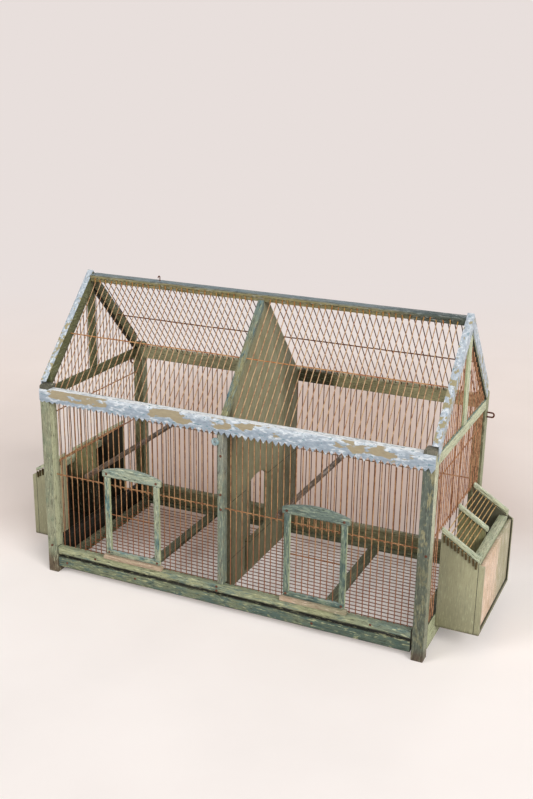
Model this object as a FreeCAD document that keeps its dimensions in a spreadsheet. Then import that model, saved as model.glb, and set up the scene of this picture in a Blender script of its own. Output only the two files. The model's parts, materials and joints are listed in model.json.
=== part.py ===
import FreeCAD, Part
import math
import os
import re

import Sketcher

# A house-shaped double bird cage: a wood frame with wire walls, roof and floor, a board partition,
# two sliding front doors, a pull-out floor and a feeder box on each end. X runs along the cage, Y from
# front to rear and Z up. The origin lies on the ground under the middle of the cage's outer box.

# Driving dimensions in millimetres, by the piece that carries them.
SIZES = {
    # Overall frame
    "cage_length": 700,
    "cage_depth": 324,
    "post_side": 20,
    "post_top_bevel": 2.5,
    "ridge_height": 517,
    "rail_thick": 18,
    # Room left round a moving piece, and between wires that cross
    "fit_gap": 0.3,
    "cross_gap": 0.1,
    "cut_overrun": 5,
    # Bottom rails and boards
    "front_rail_bottom": 37,
    "front_rail_height": 15,
    "front_rail_thick": 12,
    "rear_board_bottom": 20,
    "rear_board_height": 38,
    "end_board_bottom": 13,
    "end_board_height": 43,
    "end_board_thick": 12,
    # Eaves, gables and ridge
    "eave_bottom": 324,
    "eave_height": 22,
    "post_rise": 8,
    "roof_rise": 3,
    "peak_rise": 4,
    "gable_thick": 10,
    "rafter_depth": 20,
    "tie_height": 18,
    "tie_thick": 6,
    "king_width": 20,
    "king_thick": 6,
    "ridge_width": 20,
    "ridge_rail_height": 13,
    # Toothed strips of folded tin
    "trim_thick": 1.5,
    "eave_strip": 21,
    "eave_flange": 13,
    "eave_tooth_depth": 9,
    "eave_tooth_pitch": 10.5,
    "ridge_strip": 4.5,
    "ridge_strip_drop": 0.5,
    "ridge_tooth_depth": 3.5,
    "ridge_tooth_pitch": 8,
    "rake_strip": 16,
    "rake_tooth_depth": 3.5,
    "rake_tooth_pitch": 6,
    # Partition
    "partition_shift": -4,
    "partition_thick": 10,
    "partition_bottom": 31,
    "centre_post_width": 11,
    "centre_post_setback": 2,
    "cap_width": 12,
    "cap_rise": 1.8,
    "cap_drop": 7,
    "doorway_front": 88,
    "doorway_width": 94,
    "doorway_sill": 88,
    "doorway_spring": 188,
    "doorway_rise": 17,
    "pull_slot_width": 17,
    "pull_slot_bottom": 36,
    # Shutter of the partition and its guides
    "shutter_thick": 6,
    "shutter_lap": 5,
    "shutter_open": 57,
    "guide_web": 5,
    "guide_lip": 3,
    "guide_lap": 5,
    # Wires
    "wire_dia": 1.6,
    "cross_wire_dia": 2.2,
    "wire_pitch": 10.5,
    "roof_wire_pitch": 11,
    "front_wire_inset": 9,
    "rear_wire_inset": 4,
    "end_wire_inset": 3,
    "roof_wire_foot": 16,
    "roof_wire_head": 1.2,
    "wire_tail": 3,
    "main_wire_height": 188,
    "end_wire_low": 199,
    "end_wire_drop": 30,
    # Perches
    "perch_dia": 10,
    "perch_left": 268,
    "perch_right": 95,
    # Front doors
    "door_offset": 168,
    "door_width": 107,
    "door_stile": 10.5,
    "door_thick": 6,
    "door_head": 206,
    "door_rail_height": 9,
    "door_overhang": 4,
    "door_arch_end": 11,
    "door_arch_rise": 10,
    "door_wire_pitch": 11,
    "door_cross_height": 136,
    "sill_width": 116,
    "sill_height": 8,
    "sill_depth": 10,
    "sill_lip": 4,
    # Eyes that hold a door to the wires behind its stiles
    "eye_bar": 1.4,
    "eye_room": 0.5,
    "eye_height": 2,
    "eye_margin": 14,
    # Pull-out floor
    "floor_rail_bottom": 13,
    "floor_rail_height": 20,
    "floor_rail_thick": 14,
    "floor_side_gap": 1.5,
    "floor_rear_gap": 4,
    "floor_level": 24,
    "floor_bar_offset": 168,
    "floor_bar_width": 20,
    "floor_bar_thick": 6,
    "floor_side_width": 12,
    "floor_wire_pitch": 11.5,
    "runner_thick": 6,
    # Feeder boxes
    "feeder_out": 71,
    "feeder_width": 206,
    "feeder_bottom": 34,
    "feeder_inner_top": 197,
    "feeder_outer_top": 152,
    "feeder_wall": 8,
    "feeder_floor_thick": 6,
    "divider_thick": 6,
    "groove_depth": 4,
    "groove_edge": 2.5,
    "feeder_board_thick": 6,
    "feeder_rail_width": 15,
    "feeder_rail_height": 12,
    "batten_width": 10,
    "batten_thick": 6,
    "batten_lap": 4,
    "feeder_wire_pitch": 7,
    "feeder_wire_end": 2,
    # Fittings
    "staple_wire": 3,
    "staple_height": 11,
    "staple_out": 14,
    "staple_drop": 34,
    "hook_wire": 2,
    "hook_place": 203,
    "hook_rise": 10,
    "hook_bend": 3,
    "disc_dia": 13,
    "disc_thick": 3,
    "disc_hole": 3,
    "disc_drop": 18,
    "disc_shift": 8,
}

# Places that follow from the driving dimensions.
PLACES = {
    "half_length": "cage_length / 2",
    "inner_half": "half_length - post_side",
    "gable_inner": "half_length - gable_thick",
    "front_face": "-(cage_depth - sill_lip) / 2",
    "rear_face": "front_face + cage_depth",
    "middle": "front_face + cage_depth / 2",
    "front_rail_top": "front_rail_bottom + front_rail_height",
    "rear_board_top": "rear_board_bottom + rear_board_height",
    "end_board_top": "end_board_bottom + end_board_height",
    "eave_top": "eave_bottom + eave_height",
    "post_height": "eave_top + post_rise",
    "roof_start": "eave_top + roof_rise",
    "tie_top": "eave_bottom + tie_height",
    "ridge_bottom": "ridge_height - ridge_rail_height",
    "ridge_front": "middle - ridge_width / 2",
    "peak_height": "ridge_height + peak_rise",
    # Slope of the gables: height gained for each millimetre of depth, and the stretch of a sloping length
    "roof_slope": "(peak_height - roof_start) / (cage_depth / 2)",
    "roof_stretch": "sqrt(1 + roof_slope ^ 2)",
    "rafter_under": "roof_start - rafter_depth * roof_stretch",
    "rafter_foot": "front_face + post_side",
    "rafter_climb": "roof_slope * (rafter_foot - front_face)",
    "peak_under": "peak_height - rafter_depth * roof_stretch",
    # The roof's wires are a little steeper, from the back of the eave rail's top to the ridge's lower edge
    "wire_slope": "(ridge_bottom + roof_wire_head - eave_top) / (ridge_front - front_face - roof_wire_foot)",
    "wire_stretch": "sqrt(1 + wire_slope ^ 2)",
    "wire_line": "eave_top - wire_slope * roof_wire_foot",
    "wire_climb": "wire_slope * (ridge_front - front_face)",
    "cap_over": "wire_line + cap_rise * wire_stretch",
    "cap_under": "wire_line - cap_drop * wire_stretch",
    "board_under": "wire_line - (wire_dia / 2 + fit_gap) * wire_stretch",
    "partition_left": "partition_shift - partition_thick / 2",
    "partition_front": "front_face + rail_thick",
    "partition_rear": "rear_face - rail_thick",
    "doorway_y": "front_face + doorway_front",
    "shutter_length": "doorway_width + 2 * shutter_lap",
    "shutter_bottom": "partition_bottom + guide_web + fit_gap",
    "shutter_top": "doorway_spring + doorway_rise + shutter_lap",
    "shutter_y": "doorway_y - shutter_lap - shutter_open",
    "front_wire_y": "front_face + front_wire_inset",
    "rear_wire_y": "rear_face - rear_wire_inset",
    "cross_offset": "(wire_dia + cross_wire_dia) / 2 + cross_gap",
    "end_wire_x": "half_length - end_wire_inset",
    "end_wire_high": "eave_bottom - end_wire_drop",
    "perch_level": "main_wire_height + (cross_wire_dia + perch_dia) / 2",
    "sill_top": "front_rail_top + sill_height",
    "door_bottom": "sill_top + fit_gap",
    "door_back": "front_face + door_thick",
    "guide_offset": "door_width / 2 - door_stile / 2",
    "floor_half": "inner_half - floor_side_gap",
    "floor_bars_y": "front_face + floor_rail_thick",
    "floor_end_y": "rear_face - rail_thick - floor_rear_gap",
    "floor_bar_top": "floor_level + floor_bar_thick",
    "runner_top": "end_board_bottom + runner_thick",
    "feeder_end": "half_length + feeder_out",
    "feeder_front": "middle - feeder_width / 2",
    "feeder_rear": "middle + feeder_width / 2",
    "feeder_floor_top": "feeder_bottom + feeder_floor_thick",
    "feeder_slope": "(feeder_inner_top - feeder_outer_top) / feeder_out",
    "feeder_stretch": "sqrt(1 + feeder_slope ^ 2)",
    "groove_width": "feeder_board_thick + 2 * fit_gap",
    "groove_outer": "feeder_end - groove_edge",
    "groove_inner": "groove_outer - groove_width",
    "feeder_rail_x": "groove_inner - feeder_rail_width",
    "feeder_rail_top": "feeder_inner_top - feeder_slope * (groove_inner - half_length)",
    "batten_under": "feeder_inner_top + wire_dia * feeder_stretch",
    "batten_over": "batten_under + batten_thick * feeder_stretch",
    "staple_level": "eave_top - staple_drop",
    "disc_level": "eave_bottom - disc_drop",
}

# The hand-cut teeth are uneven: each tooth's depth is a share of the full depth, in turn.
TOOTH_DEPTH_SHARES = (0.9, 0.72, 1.0, 0.8, 0.62, 0.95, 0.76, 0.88)
# The eave's teeth grow along the strip, from nibs at its left end.
EAVE_NIB_SHARE = 0.35
# Where the tip of each tooth lies between its two roots.
TOOTH_TIP_SHARES = (0.5, 0.42, 0.56, 0.48, 0.6)
# How far up the slope the roof's cross wire runs.
ROOF_CROSS_SHARE = 0.5
# Corners of a wire's section, and straight runs in the bend of a door's eye.
WIRE_SIDES = 6
EYE_SIDES = 4

doc = FreeCAD.newDocument("bird_cage")
sheet = doc.addObject("Spreadsheet::Sheet", "Sizes")
nodes = []


def fill_sheet():
    """Write the driving dimensions and the places that follow from them, each with its alias."""
    rows = list(SIZES.items()) + [(name, "=" + formula) for name, formula in PLACES.items()]
    for row, (name, content) in enumerate(rows, start=1):
        sheet.set("A%d" % row, name)
        sheet.set("B%d" % row, str(content))
        sheet.setAlias("B%d" % row, name)
    doc.recompute()


def bound(formula):
    """Point each name of a formula at its cell in the sheet."""
    names = SIZES.keys() | PLACES.keys()
    return re.sub(r"[a-z_]+", lambda word: "Sizes." + word[0] if word[0] in names else word[0], formula)


def size(name):
    """The value of a named size or place."""
    return float(sheet.get(name))


def value(formula):
    """The value of a formula in named sizes."""
    return float(sheet.evalExpression(bound(formula)))


def place(piece, x="0", y="0", z="0"):
    """Tie a piece's position to the sheet."""
    for axis, formula in zip("xyz", (x, y, z)):
        piece.setExpression("Placement.Base." + axis, bound(formula))


def node(piece, label):
    """Keep a piece as a sub-part under its own label."""
    piece.Label = label
    nodes.append(piece)
    return piece


def lath(name, x, y, z):
    """A straight sawn length of wood, from a low and a high formula along each axis."""
    piece = doc.addObject("Part::Box", name)
    for side, (low, high) in zip(("Length", "Width", "Height"), (x, y, z)):
        piece.setExpression(side, bound("(%s) - (%s)" % (high, low)))
    place(piece, x[0], y[0], z[0])
    return piece


def plane_of(body, role):
    """One of a body's own origin planes."""
    return next(plane for plane in body.Origin.OriginFeatures if plane.Role == role)


def outline(body, name, role, corners, arcs=None):
    """A closed sketch whose corners are held at formulas. arcs maps an edge to its rise over its chord."""
    arcs = arcs or {}
    sketch = body.newObject("Sketcher::SketchObject", name)
    sketch.AttachmentSupport = [(plane_of(body, role), "")]
    sketch.MapMode = "FlatFace"
    spots = [FreeCAD.Vector(value(across), value(up), 0) for across, up in corners]
    count = len(spots)
    for index, spot in enumerate(spots):
        following = spots[(index + 1) % count]
        if index in arcs:
            chord = following - spot
            bulge = FreeCAD.Vector(chord.y, -chord.x, 0).normalize() * value(arcs[index])
            sketch.addGeometry(Part.Arc(spot, (spot + following) / 2 + bulge, following))
        else:
            sketch.addGeometry(Part.LineSegment(spot, following))
    for index in range(count):
        sketch.addConstraint(Sketcher.Constraint("Coincident", index, 2, (index + 1) % count, 1))
    for index, spot in enumerate(spots):
        for kind, coordinate, formula in zip(("DistanceX", "DistanceY"), (spot.x, spot.y), corners[index]):
            held = sketch.addConstraint(Sketcher.Constraint(kind, -1, 1, index, 1, coordinate))
            sketch.setExpression("Constraints[%d]" % held, bound(formula))
    for index, rise in arcs.items():
        start, end = corners[index], corners[(index + 1) % count]
        chord = "sqrt(((%s) - (%s)) ^ 2 + ((%s) - (%s)) ^ 2)" % (end[0], start[0], end[1], start[1])
        radius = "((%s) ^ 2 / 4 + (%s) ^ 2) / (2 * (%s))" % (chord, rise, rise)
        held = sketch.addConstraint(Sketcher.Constraint("Radius", index, value(radius)))
        sketch.setExpression("Constraints[%d]" % held, bound(radius))
    return sketch


def board(name, role, corners, thick, arcs=None):
    """A board cut to an outline on one of the body's planes and given its thickness."""
    body = doc.addObject("PartDesign::Body", name)
    pad = body.newObject("PartDesign::Pad", name + "_pad")
    pad.Profile = outline(body, name + "_outline", role, corners, arcs)
    pad.setExpression("Length", bound(thick))
    doc.recompute()
    return body


def cut(body, name, role, corners, depth=None, arcs=None):
    """Cut an outline into a board, through it or to a depth, and make sure that wood went."""
    before = body.Shape.Volume
    pocket = body.newObject("PartDesign::Pocket", name)
    pocket.Profile = outline(body, name + "_outline", role, corners, arcs)
    pocket.Reversed = True
    if depth:
        pocket.setExpression("Length", bound(depth))
    else:
        pocket.Type = "ThroughAll"
    doc.recompute()
    if body.Shape.Volume >= before:
        raise ValueError(name + " cuts nothing")
    return body


def mirrored(piece, name, axis, base="0"):
    """The mirror image of a piece across a plane square to an axis."""
    twin = doc.addObject("Part::Mirroring", name)
    twin.Source = piece
    twin.Normal = FreeCAD.Vector(axis == "x", axis == "y", axis == "z")
    twin.setExpression("Base." + axis, bound(base))
    return twin


def group(label, pieces):
    """Separate solids that share one sub-part."""
    bundle = doc.addObject("Part::Compound", label)
    bundle.Links = pieces
    return node(bundle, label)


def made(label, solids):
    """A sub-part of one or more solids made by formula."""
    piece = doc.addObject("Part::Feature", label)
    piece.Shape = Part.makeCompound(solids) if len(solids) > 1 else solids[0]
    piece.Placement = FreeCAD.Placement()
    return node(piece, label)


def section(start, along, dia):
    """The six-sided section of a wire, square to its run at one end."""
    turns = [math.tau * corner / WIRE_SIDES for corner in range(WIRE_SIDES + 1)]
    rim = Part.makePolygon(
        [FreeCAD.Vector(math.cos(turn), math.sin(turn), 0) * (dia / 2) for turn in turns])
    rim.Placement = FreeCAD.Placement(start, FreeCAD.Rotation(FreeCAD.Vector(0, 0, 1), along))
    return rim


def rod(start, end, dia):
    """A straight wire between two points."""
    foot = FreeCAD.Vector(*start)
    along = FreeCAD.Vector(*end) - foot
    return Part.Face(section(foot, along, dia)).extrude(along)


def bent_rod(edges, dia):
    """A wire along a path of straight and bent runs."""
    start = edges[0]
    rim = section(start.valueAt(start.FirstParameter), start.tangentAt(start.FirstParameter), dia)
    return Part.Wire(edges).makePipeShell([rim], True, False)


def spread(start, end, pitch):
    """Even places between two ends, as close to a pitch as the span allows, without the ends."""
    steps = max(1, round(abs(end - start) / pitch))
    return [start + (end - start) * step / steps for step in range(1, steps)]


def span(side, inner, outer):
    """The low and high formulas of a stretch between two distances from the middle, on either side."""
    return (inner, outer) if side == "right" else ("-(%s)" % outer, "-(%s)" % inner)


def frame_posts():
    """Four square posts with bevelled tops."""
    square = [("0", "0"), ("post_side", "0"), ("post_side", "post_side"), ("0", "post_side")]
    for side in ("left", "right"):
        for end, y in (("front", "front_face"), ("rear", "rear_face - post_side")):
            label = "post_%s_%s" % (end, side)
            post = board(label, "XY_Plane", square, "post_height")
            pad = post.Tip
            top = max(enumerate(pad.Shape.Faces, start=1), key=lambda item: item[1].CenterOfMass.z)
            bevel = post.newObject("PartDesign::Chamfer", label + "_bevel")
            bevel.Base = (pad, ["Face%d" % top[0]])
            bevel.setExpression("Size", bound("post_top_bevel"))
            place(post, span(side, "inner_half", "half_length")[0], y)
            node(post, label)


def frame_rails():
    """Bottom rails and boards, eave rails, tie beams, king posts and the ridge between the gables."""
    across = ("-inner_half", "inner_half")
    deep = ("front_face + post_side", "rear_face - post_side")
    front = ("front_face", "partition_front")
    rear = ("partition_rear", "rear_face")
    eave = ("eave_bottom", "eave_top")
    ridge = ("ridge_front", "ridge_front + ridge_width")
    node(lath("front_rail", across, ("front_face", "front_face + front_rail_thick"),
              ("front_rail_bottom", "front_rail_top")), "front_rail")
    node(lath("rear_board", across, rear, ("rear_board_bottom", "rear_board_top")), "rear_board")
    node(lath("front_eave_rail", across, front, eave), "front_eave_rail")
    node(lath("rear_eave_rail", across, rear, eave), "rear_eave_rail")
    node(lath("ridge_rail", ("-gable_inner", "gable_inner"), ridge, ("ridge_bottom", "ridge_height")),
         "ridge_rail")
    king_side = "roof_slope * king_width / 2"
    king_corners = [
        ("middle - king_width / 2", "tie_top"),
        ("middle + king_width / 2", "tie_top"),
        ("middle + king_width / 2", "peak_under - " + king_side),
        ("middle", "peak_under"),
        ("middle - king_width / 2", "peak_under - " + king_side),
    ]
    for side in ("left", "right"):
        wall = span(side, "half_length - end_board_thick", "half_length")
        tie = span(side, "half_length - tie_thick", "half_length")
        node(lath("end_board_" + side, wall, deep, ("end_board_bottom", "end_board_top")),
             "end_board_" + side)
        node(lath("tie_beam_" + side, tie, deep, ("eave_bottom", "tie_top")), "tie_beam_" + side)
        king = board("king_post_" + side, "YZ_Plane", king_corners, "king_thick")
        place(king, span(side, "half_length - king_thick", "half_length")[0])
        node(king, "king_post_" + side)


def gable_rafters():
    """Rafters that stand on the tie beams against the posts and meet at the peak with plumb cuts."""
    corners = [
        ("rafter_foot", "tie_top"),
        ("front_face + (tie_top - rafter_under) / roof_slope", "tie_top"),
        ("middle", "peak_under"),
        ("middle", "peak_height"),
        ("rafter_foot", "roof_start + rafter_climb"),
    ]
    front = board("rafter_front", "YZ_Plane", corners, "gable_thick")
    place(front, "gable_inner")
    rear = mirrored(front, "rafter_rear", "y", "middle")
    pair = group("rafters_right", [front, rear])
    node(mirrored(pair, "rafters_left", "x"), "rafters_left")


def teeth(start, end, pitch, depth, first_share=1):
    """Uneven saw teeth along a line, growing from a first share, as pairs of place and depth."""
    count = max(1, round((end - start) / pitch))
    step = (end - start) / count
    points = []
    for tooth in range(count):
        root = start + tooth * step
        tip_share = TOOTH_TIP_SHARES[tooth % len(TOOTH_TIP_SHARES)]
        depth_share = TOOTH_DEPTH_SHARES[tooth % len(TOOTH_DEPTH_SHARES)]
        depth_share *= first_share + (1 - first_share) * tooth / count
        points += [(root, 0), (root + step * tip_share, depth * depth_share)]
    return points + [(end, 0)]


def plate(points, direction):
    """A thin plate from its corners and the way that its thickness goes."""
    corners = [FreeCAD.Vector(*point) for point in points]
    return Part.Face(Part.makePolygon(corners + corners[:1])).extrude(direction)


def level_strip(half, face, top, strip, edge_teeth):
    """A toothed strip flat on the front of a rail."""
    edge = [(x, face, top - strip - drop) for x, drop in edge_teeth]
    forward = FreeCAD.Vector(0, -size("trim_thick"), 0)
    return plate(edge + [(half, face, top), (-half, face, top)], forward)


def eave_strip():
    """The eave's strip, folded back over the rail's top between the posts."""
    half, inner, thick = size("half_length"), size("inner_half"), size("trim_thick")
    face, top = size("front_face"), size("eave_top")
    edge_teeth = teeth(-half, half, size("eave_tooth_pitch"), size("eave_tooth_depth"), EAVE_NIB_SHARE)
    front = level_strip(half, face, top, size("eave_strip"), edge_teeth)
    near, back = face - thick, face + size("eave_flange")
    flange = plate([(-inner, near, top), (inner, near, top), (inner, back, top), (-inner, back, top)],
                   FreeCAD.Vector(0, 0, thick))
    made("eave_trim", [front.fuse(flange).removeSplitter().Solids[0]])


def rake_strip():
    """One rafter's strip: a toothed plate on its outer side, folded over its sloping top."""
    half, thick, top = size("half_length"), size("trim_thick"), size("peak_height")
    start, end, low = size("rafter_foot"), size("middle"), value("roof_start + rafter_climb")
    slope, stretch, depth = size("roof_slope"), size("roof_stretch"), size("rake_tooth_depth")
    drop_to_root = size("rake_strip") * stretch
    edge = []
    for along, drop in teeth(start, end - depth, size("rake_tooth_pitch") / stretch, depth):
        root = low - drop_to_root + slope * (along - start)
        edge.append((half, along + drop * slope / stretch, root - drop / stretch))
    edge += [(half, end, top - drop_to_root), (half, end, top), (half, start, low)]
    side = plate(edge, FreeCAD.Vector(thick, 0, 0))
    inner, fold = size("gable_inner"), thick * stretch
    flange = plate([(inner, start, low), (inner, end, top),
                    (inner, end, top + fold), (inner, start, low + fold)],
                   FreeCAD.Vector(half + thick - inner, 0, 0))
    return side.fuse(flange).removeSplitter().Solids[0]


def toothed_strips():
    """The strips of the eave, the ridge and the gables' rafters."""
    eave_strip()
    half = size("gable_inner")
    ridge_teeth = teeth(-half, half, size("ridge_tooth_pitch"), size("ridge_tooth_depth"))
    made("ridge_trim", [level_strip(half, size("ridge_front"), value("ridge_height - ridge_strip_drop"),
                                    size("ridge_strip"), ridge_teeth)])
    front = doc.addObject("Part::Feature", "rake_front")
    front.Shape = rake_strip()
    front.Placement = FreeCAD.Placement()
    pair = group("rake_trims_right", [front, mirrored(front, "rake_rear", "y", "middle")])
    node(mirrored(pair, "rake_trims_left", "x"), "rake_trims_left")


def partition():
    """The board between the compartments, its doorway, the post before it and the cap on its edge."""
    cap_foot = "cap_under + wire_slope * rail_thick"
    corners = [
        ("partition_front", "partition_bottom"),
        ("partition_rear", "partition_bottom"),
        ("partition_rear", "board_under + wire_slope * rail_thick"),
        ("rear_face - (ridge_bottom - board_under) / wire_slope", "ridge_bottom"),
        ("ridge_front", "ridge_bottom"),
        ("ridge_front", "cap_under + wire_climb"),
        ("partition_front", cap_foot),
    ]
    wall = board("partition_board", "YZ_Plane", corners, "partition_thick")
    far_side = "doorway_y + doorway_width"
    slot_side = "doorway_y + pull_slot_width"
    doorway = [
        ("doorway_y", "pull_slot_bottom"),
        (slot_side, "pull_slot_bottom"),
        (slot_side, "doorway_sill"),
        (far_side, "doorway_sill"),
        (far_side, "doorway_spring"),
        ("doorway_y", "doorway_spring"),
    ]
    cut(wall, "doorway", "YZ_Plane", doorway, arcs={4: "doorway_rise"})
    place(wall, "partition_left")
    node(wall, "partition_board")
    post = lath("centre_post",
                ("partition_shift - centre_post_width / 2", "partition_shift + centre_post_width / 2"),
                ("front_face + centre_post_setback", "partition_front"),
                ("front_rail_top", "eave_bottom"))
    node(post, "centre_post")
    cap_corners = [
        ("front_face + (eave_top - cap_over) / wire_slope", "eave_top"),
        ("partition_front", "eave_top"),
        ("partition_front", cap_foot),
        ("ridge_front", "cap_under + wire_climb"),
        ("ridge_front", "cap_over + wire_climb"),
    ]
    cap = board("partition_cap", "YZ_Plane", cap_corners, "cap_width")
    place(cap, "partition_shift - cap_width / 2")
    node(cap, "partition_cap")


def shutter():
    """A board that slides along the left face of the partition in an upper and a lower guide."""
    panel = lath("shutter",
                 ("partition_left - fit_gap - shutter_thick", "partition_left - fit_gap"),
                 ("shutter_y", "shutter_y + shutter_length"),
                 ("shutter_bottom", "shutter_top"))
    node(panel, "shutter")
    lip_near = "partition_left - shutter_thick - 2 * fit_gap"
    lip_far = lip_near + " - guide_lip"
    length = "partition_rear - partition_front"
    guides = []
    for name, foot, sign in (("guide_low", "partition_bottom", "+"),
                             ("guide_high", "shutter_top + fit_gap + guide_web", "-")):
        web = "%s %s guide_web" % (foot, sign)
        lip = "%s %s (guide_web + guide_lap)" % (foot, sign)
        corners = [
            ("partition_left", foot),
            ("partition_left", web),
            (lip_near, web),
            (lip_near, lip),
            (lip_far, lip),
            (lip_far, foot),
        ]
        guide = board(name, "XZ_Plane", corners, length)
        place(guide, y="partition_rear")
        guides.append(guide)
    group("shutter_guides", guides)


def front_wires():
    """Upright wires of the front, with an opening under the main wire behind each door."""
    dia, y, pitch = size("wire_dia"), size("front_wire_y"), size("wire_pitch")
    low, high = size("front_rail_top"), size("eave_bottom")
    cut_end = size("main_wire_height") - size("wire_tail")
    shift, guide = size("partition_shift"), size("guide_offset")
    wires = []
    for sign in (-1, 1):
        door = shift + sign * size("door_offset")
        outer, inner = door + sign * guide, door - sign * guide
        post_side = shift + sign * size("centre_post_width") / 2
        full = [outer, inner] + spread(sign * size("inner_half"), outer, pitch)
        full += spread(inner, post_side, pitch)
        wires += [rod((x, y, low), (x, y, high), dia) for x in full]
        wires += [rod((x, y, cut_end), (x, y, high), dia) for x in spread(inner, outer, pitch)]
    made("front_wires", wires)


def rear_wires():
    """Upright wires of the rear wall."""
    dia, y, half = size("wire_dia"), size("rear_wire_y"), size("inner_half")
    low, high = size("rear_board_top"), size("eave_bottom")
    made("rear_wires", [rod((x, y, low), (x, y, high), dia)
                        for x in spread(-half, half, size("wire_pitch"))])


def roof_places():
    """Places of the roof's wires along the cage, from beside the posts to the partition's cap."""
    shift, half_cap, pitch = size("partition_shift"), size("cap_width") / 2, size("roof_wire_pitch")
    end = size("inner_half") - size("wire_dia")
    return [-end] + spread(-end, shift - half_cap, pitch) + spread(shift + half_cap, end, pitch) + [end]


def roof_wires():
    """Sloping wires from each eave rail's top to the side of the ridge."""
    dia, slope, stretch = size("wire_dia"), size("wire_slope"), size("wire_stretch")
    line = size("wire_line")
    # The end of a sloping wire leans, so its axis stops short by the wire's own half width.
    foot_z = size("eave_top") + dia / 2 / stretch
    foot_run = (foot_z - line) / slope
    head_run = size("ridge_front") - size("front_face") - dia / 2 * slope / stretch
    head_z = line + slope * head_run
    for label, outer, sign in (("roof_wires_front", size("front_face"), 1),
                               ("roof_wires_rear", size("rear_face"), -1)):
        foot_y, head_y = outer + sign * foot_run, outer + sign * head_run
        made(label, [rod((x, foot_y, foot_z), (x, head_y, head_z), dia) for x in roof_places()])
    # A cross wire under each slope, from the rafters to the partition.
    inward = size("cross_offset")
    run = foot_run + (head_run - foot_run) * ROOF_CROSS_SHARE + inward * slope / stretch
    level = line + slope * (run - inward * slope / stretch) - inward / stretch
    cross_dia, end = size("cross_wire_dia"), size("gable_inner")
    shift, half_cap, half_board = size("partition_shift"), size("cap_width") / 2, size("partition_thick") / 2
    wires = []
    for outer, sign, half_width in ((size("front_face"), 1, half_cap), (size("rear_face"), -1, half_board)):
        y = outer + sign * run
        wires.append(rod((-end, y, level), (shift - half_width, y, level), cross_dia))
        wires.append(rod((shift + half_width, y, level), (end, y, level), cross_dia))
    made("roof_cross_wires", wires)


def end_wires():
    """Upright wires of the ends, open at the feeders, with the gables' wires above the tie beams."""
    dia, x = size("wire_dia"), size("end_wire_x")
    front, rear = size("front_face") + size("post_side"), size("rear_face") - size("post_side")
    feeder = (size("feeder_front"), size("feeder_rear"))
    cut_end = size("end_wire_low") - size("wire_tail")
    middle, king = size("middle"), size("king_width") / 2
    wires = []
    for y in spread(front, rear, size("wire_pitch")):
        low = cut_end if feeder[0] < y < feeder[1] else size("end_board_top")
        wires.append(rod((x, y, low), (x, y, size("eave_bottom")), dia))
        run = min(y, 2 * middle - y) - dia / 2 - size("front_face")
        head = size("rafter_under") + size("roof_slope") * run
        if abs(y - middle) > king + dia and head > size("tie_top") + dia:
            wires.append(rod((x, y, size("tie_top")), (x, y, head), dia))
    right = made("end_wires_right", wires)
    node(mirrored(right, "end_wires_left", "x"), "end_wires_left")
    cross_x, cross_dia = x - size("cross_offset"), size("cross_wire_dia")
    made("end_cross_wires", [rod((sign * cross_x, front, size(level)), (sign * cross_x, rear, size(level)),
                                 cross_dia)
                             for sign in (-1, 1) for level in ("end_wire_low", "end_wire_high")])


def wall_cross_wires():
    """The main wires along the front and the rear, on the inner side of the uprights."""
    half, z, dia = size("inner_half"), size("main_wire_height"), size("cross_wire_dia")
    shift, half_post = size("partition_shift"), size("centre_post_width") / 2
    front = size("front_wire_y") + size("cross_offset")
    rear = size("rear_wire_y") - size("cross_offset")
    made("main_wires", [
        rod((-half, front, z), (shift - half_post, front, z), dia),
        rod((shift + half_post, front, z), (half, front, z), dia),
        rod((-half, rear, z), (half, rear, z), dia),
    ])


def perches():
    """Two rods that lie on the main wires from front to rear."""
    rods = []
    for name, x in (("perch_left", "-perch_left"), ("perch_right", "perch_right")):
        perch = doc.addObject("Part::Cylinder", name)
        perch.setExpression("Radius", bound("perch_dia / 2"))
        perch.setExpression("Height", bound("rear_wire_y - front_wire_y - wire_dia - 2 * cross_gap"))
        perch.Placement = FreeCAD.Placement(
            FreeCAD.Vector(), FreeCAD.Rotation(FreeCAD.Vector(1, 0, 0), -90))
        place(perch, x, "front_wire_y + wire_dia / 2 + cross_gap", "perch_level")
        rods.append(perch)
    group("perches", rods)


def eye(x, z):
    """A staple whose legs straddle an upright wire, from a door's back round behind the wire."""
    inner = size("wire_dia") / 2 + size("eye_room")
    outer = inner + size("eye_bar")
    back, bend = size("door_back"), size("front_wire_y")
    turns = [math.pi * step / EYE_SIDES for step in range(EYE_SIDES + 1)]

    def leg_and_bend(radius):
        round_points = [(x + radius * math.cos(turn), bend + radius * math.sin(turn), z) for turn in turns]
        return [(x + radius, back, z)] + round_points + [(x - radius, back, z)]

    return plate(leg_and_bend(outer) + leg_and_bend(inner)[::-1], FreeCAD.Vector(0, 0, size("eye_height")))


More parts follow.
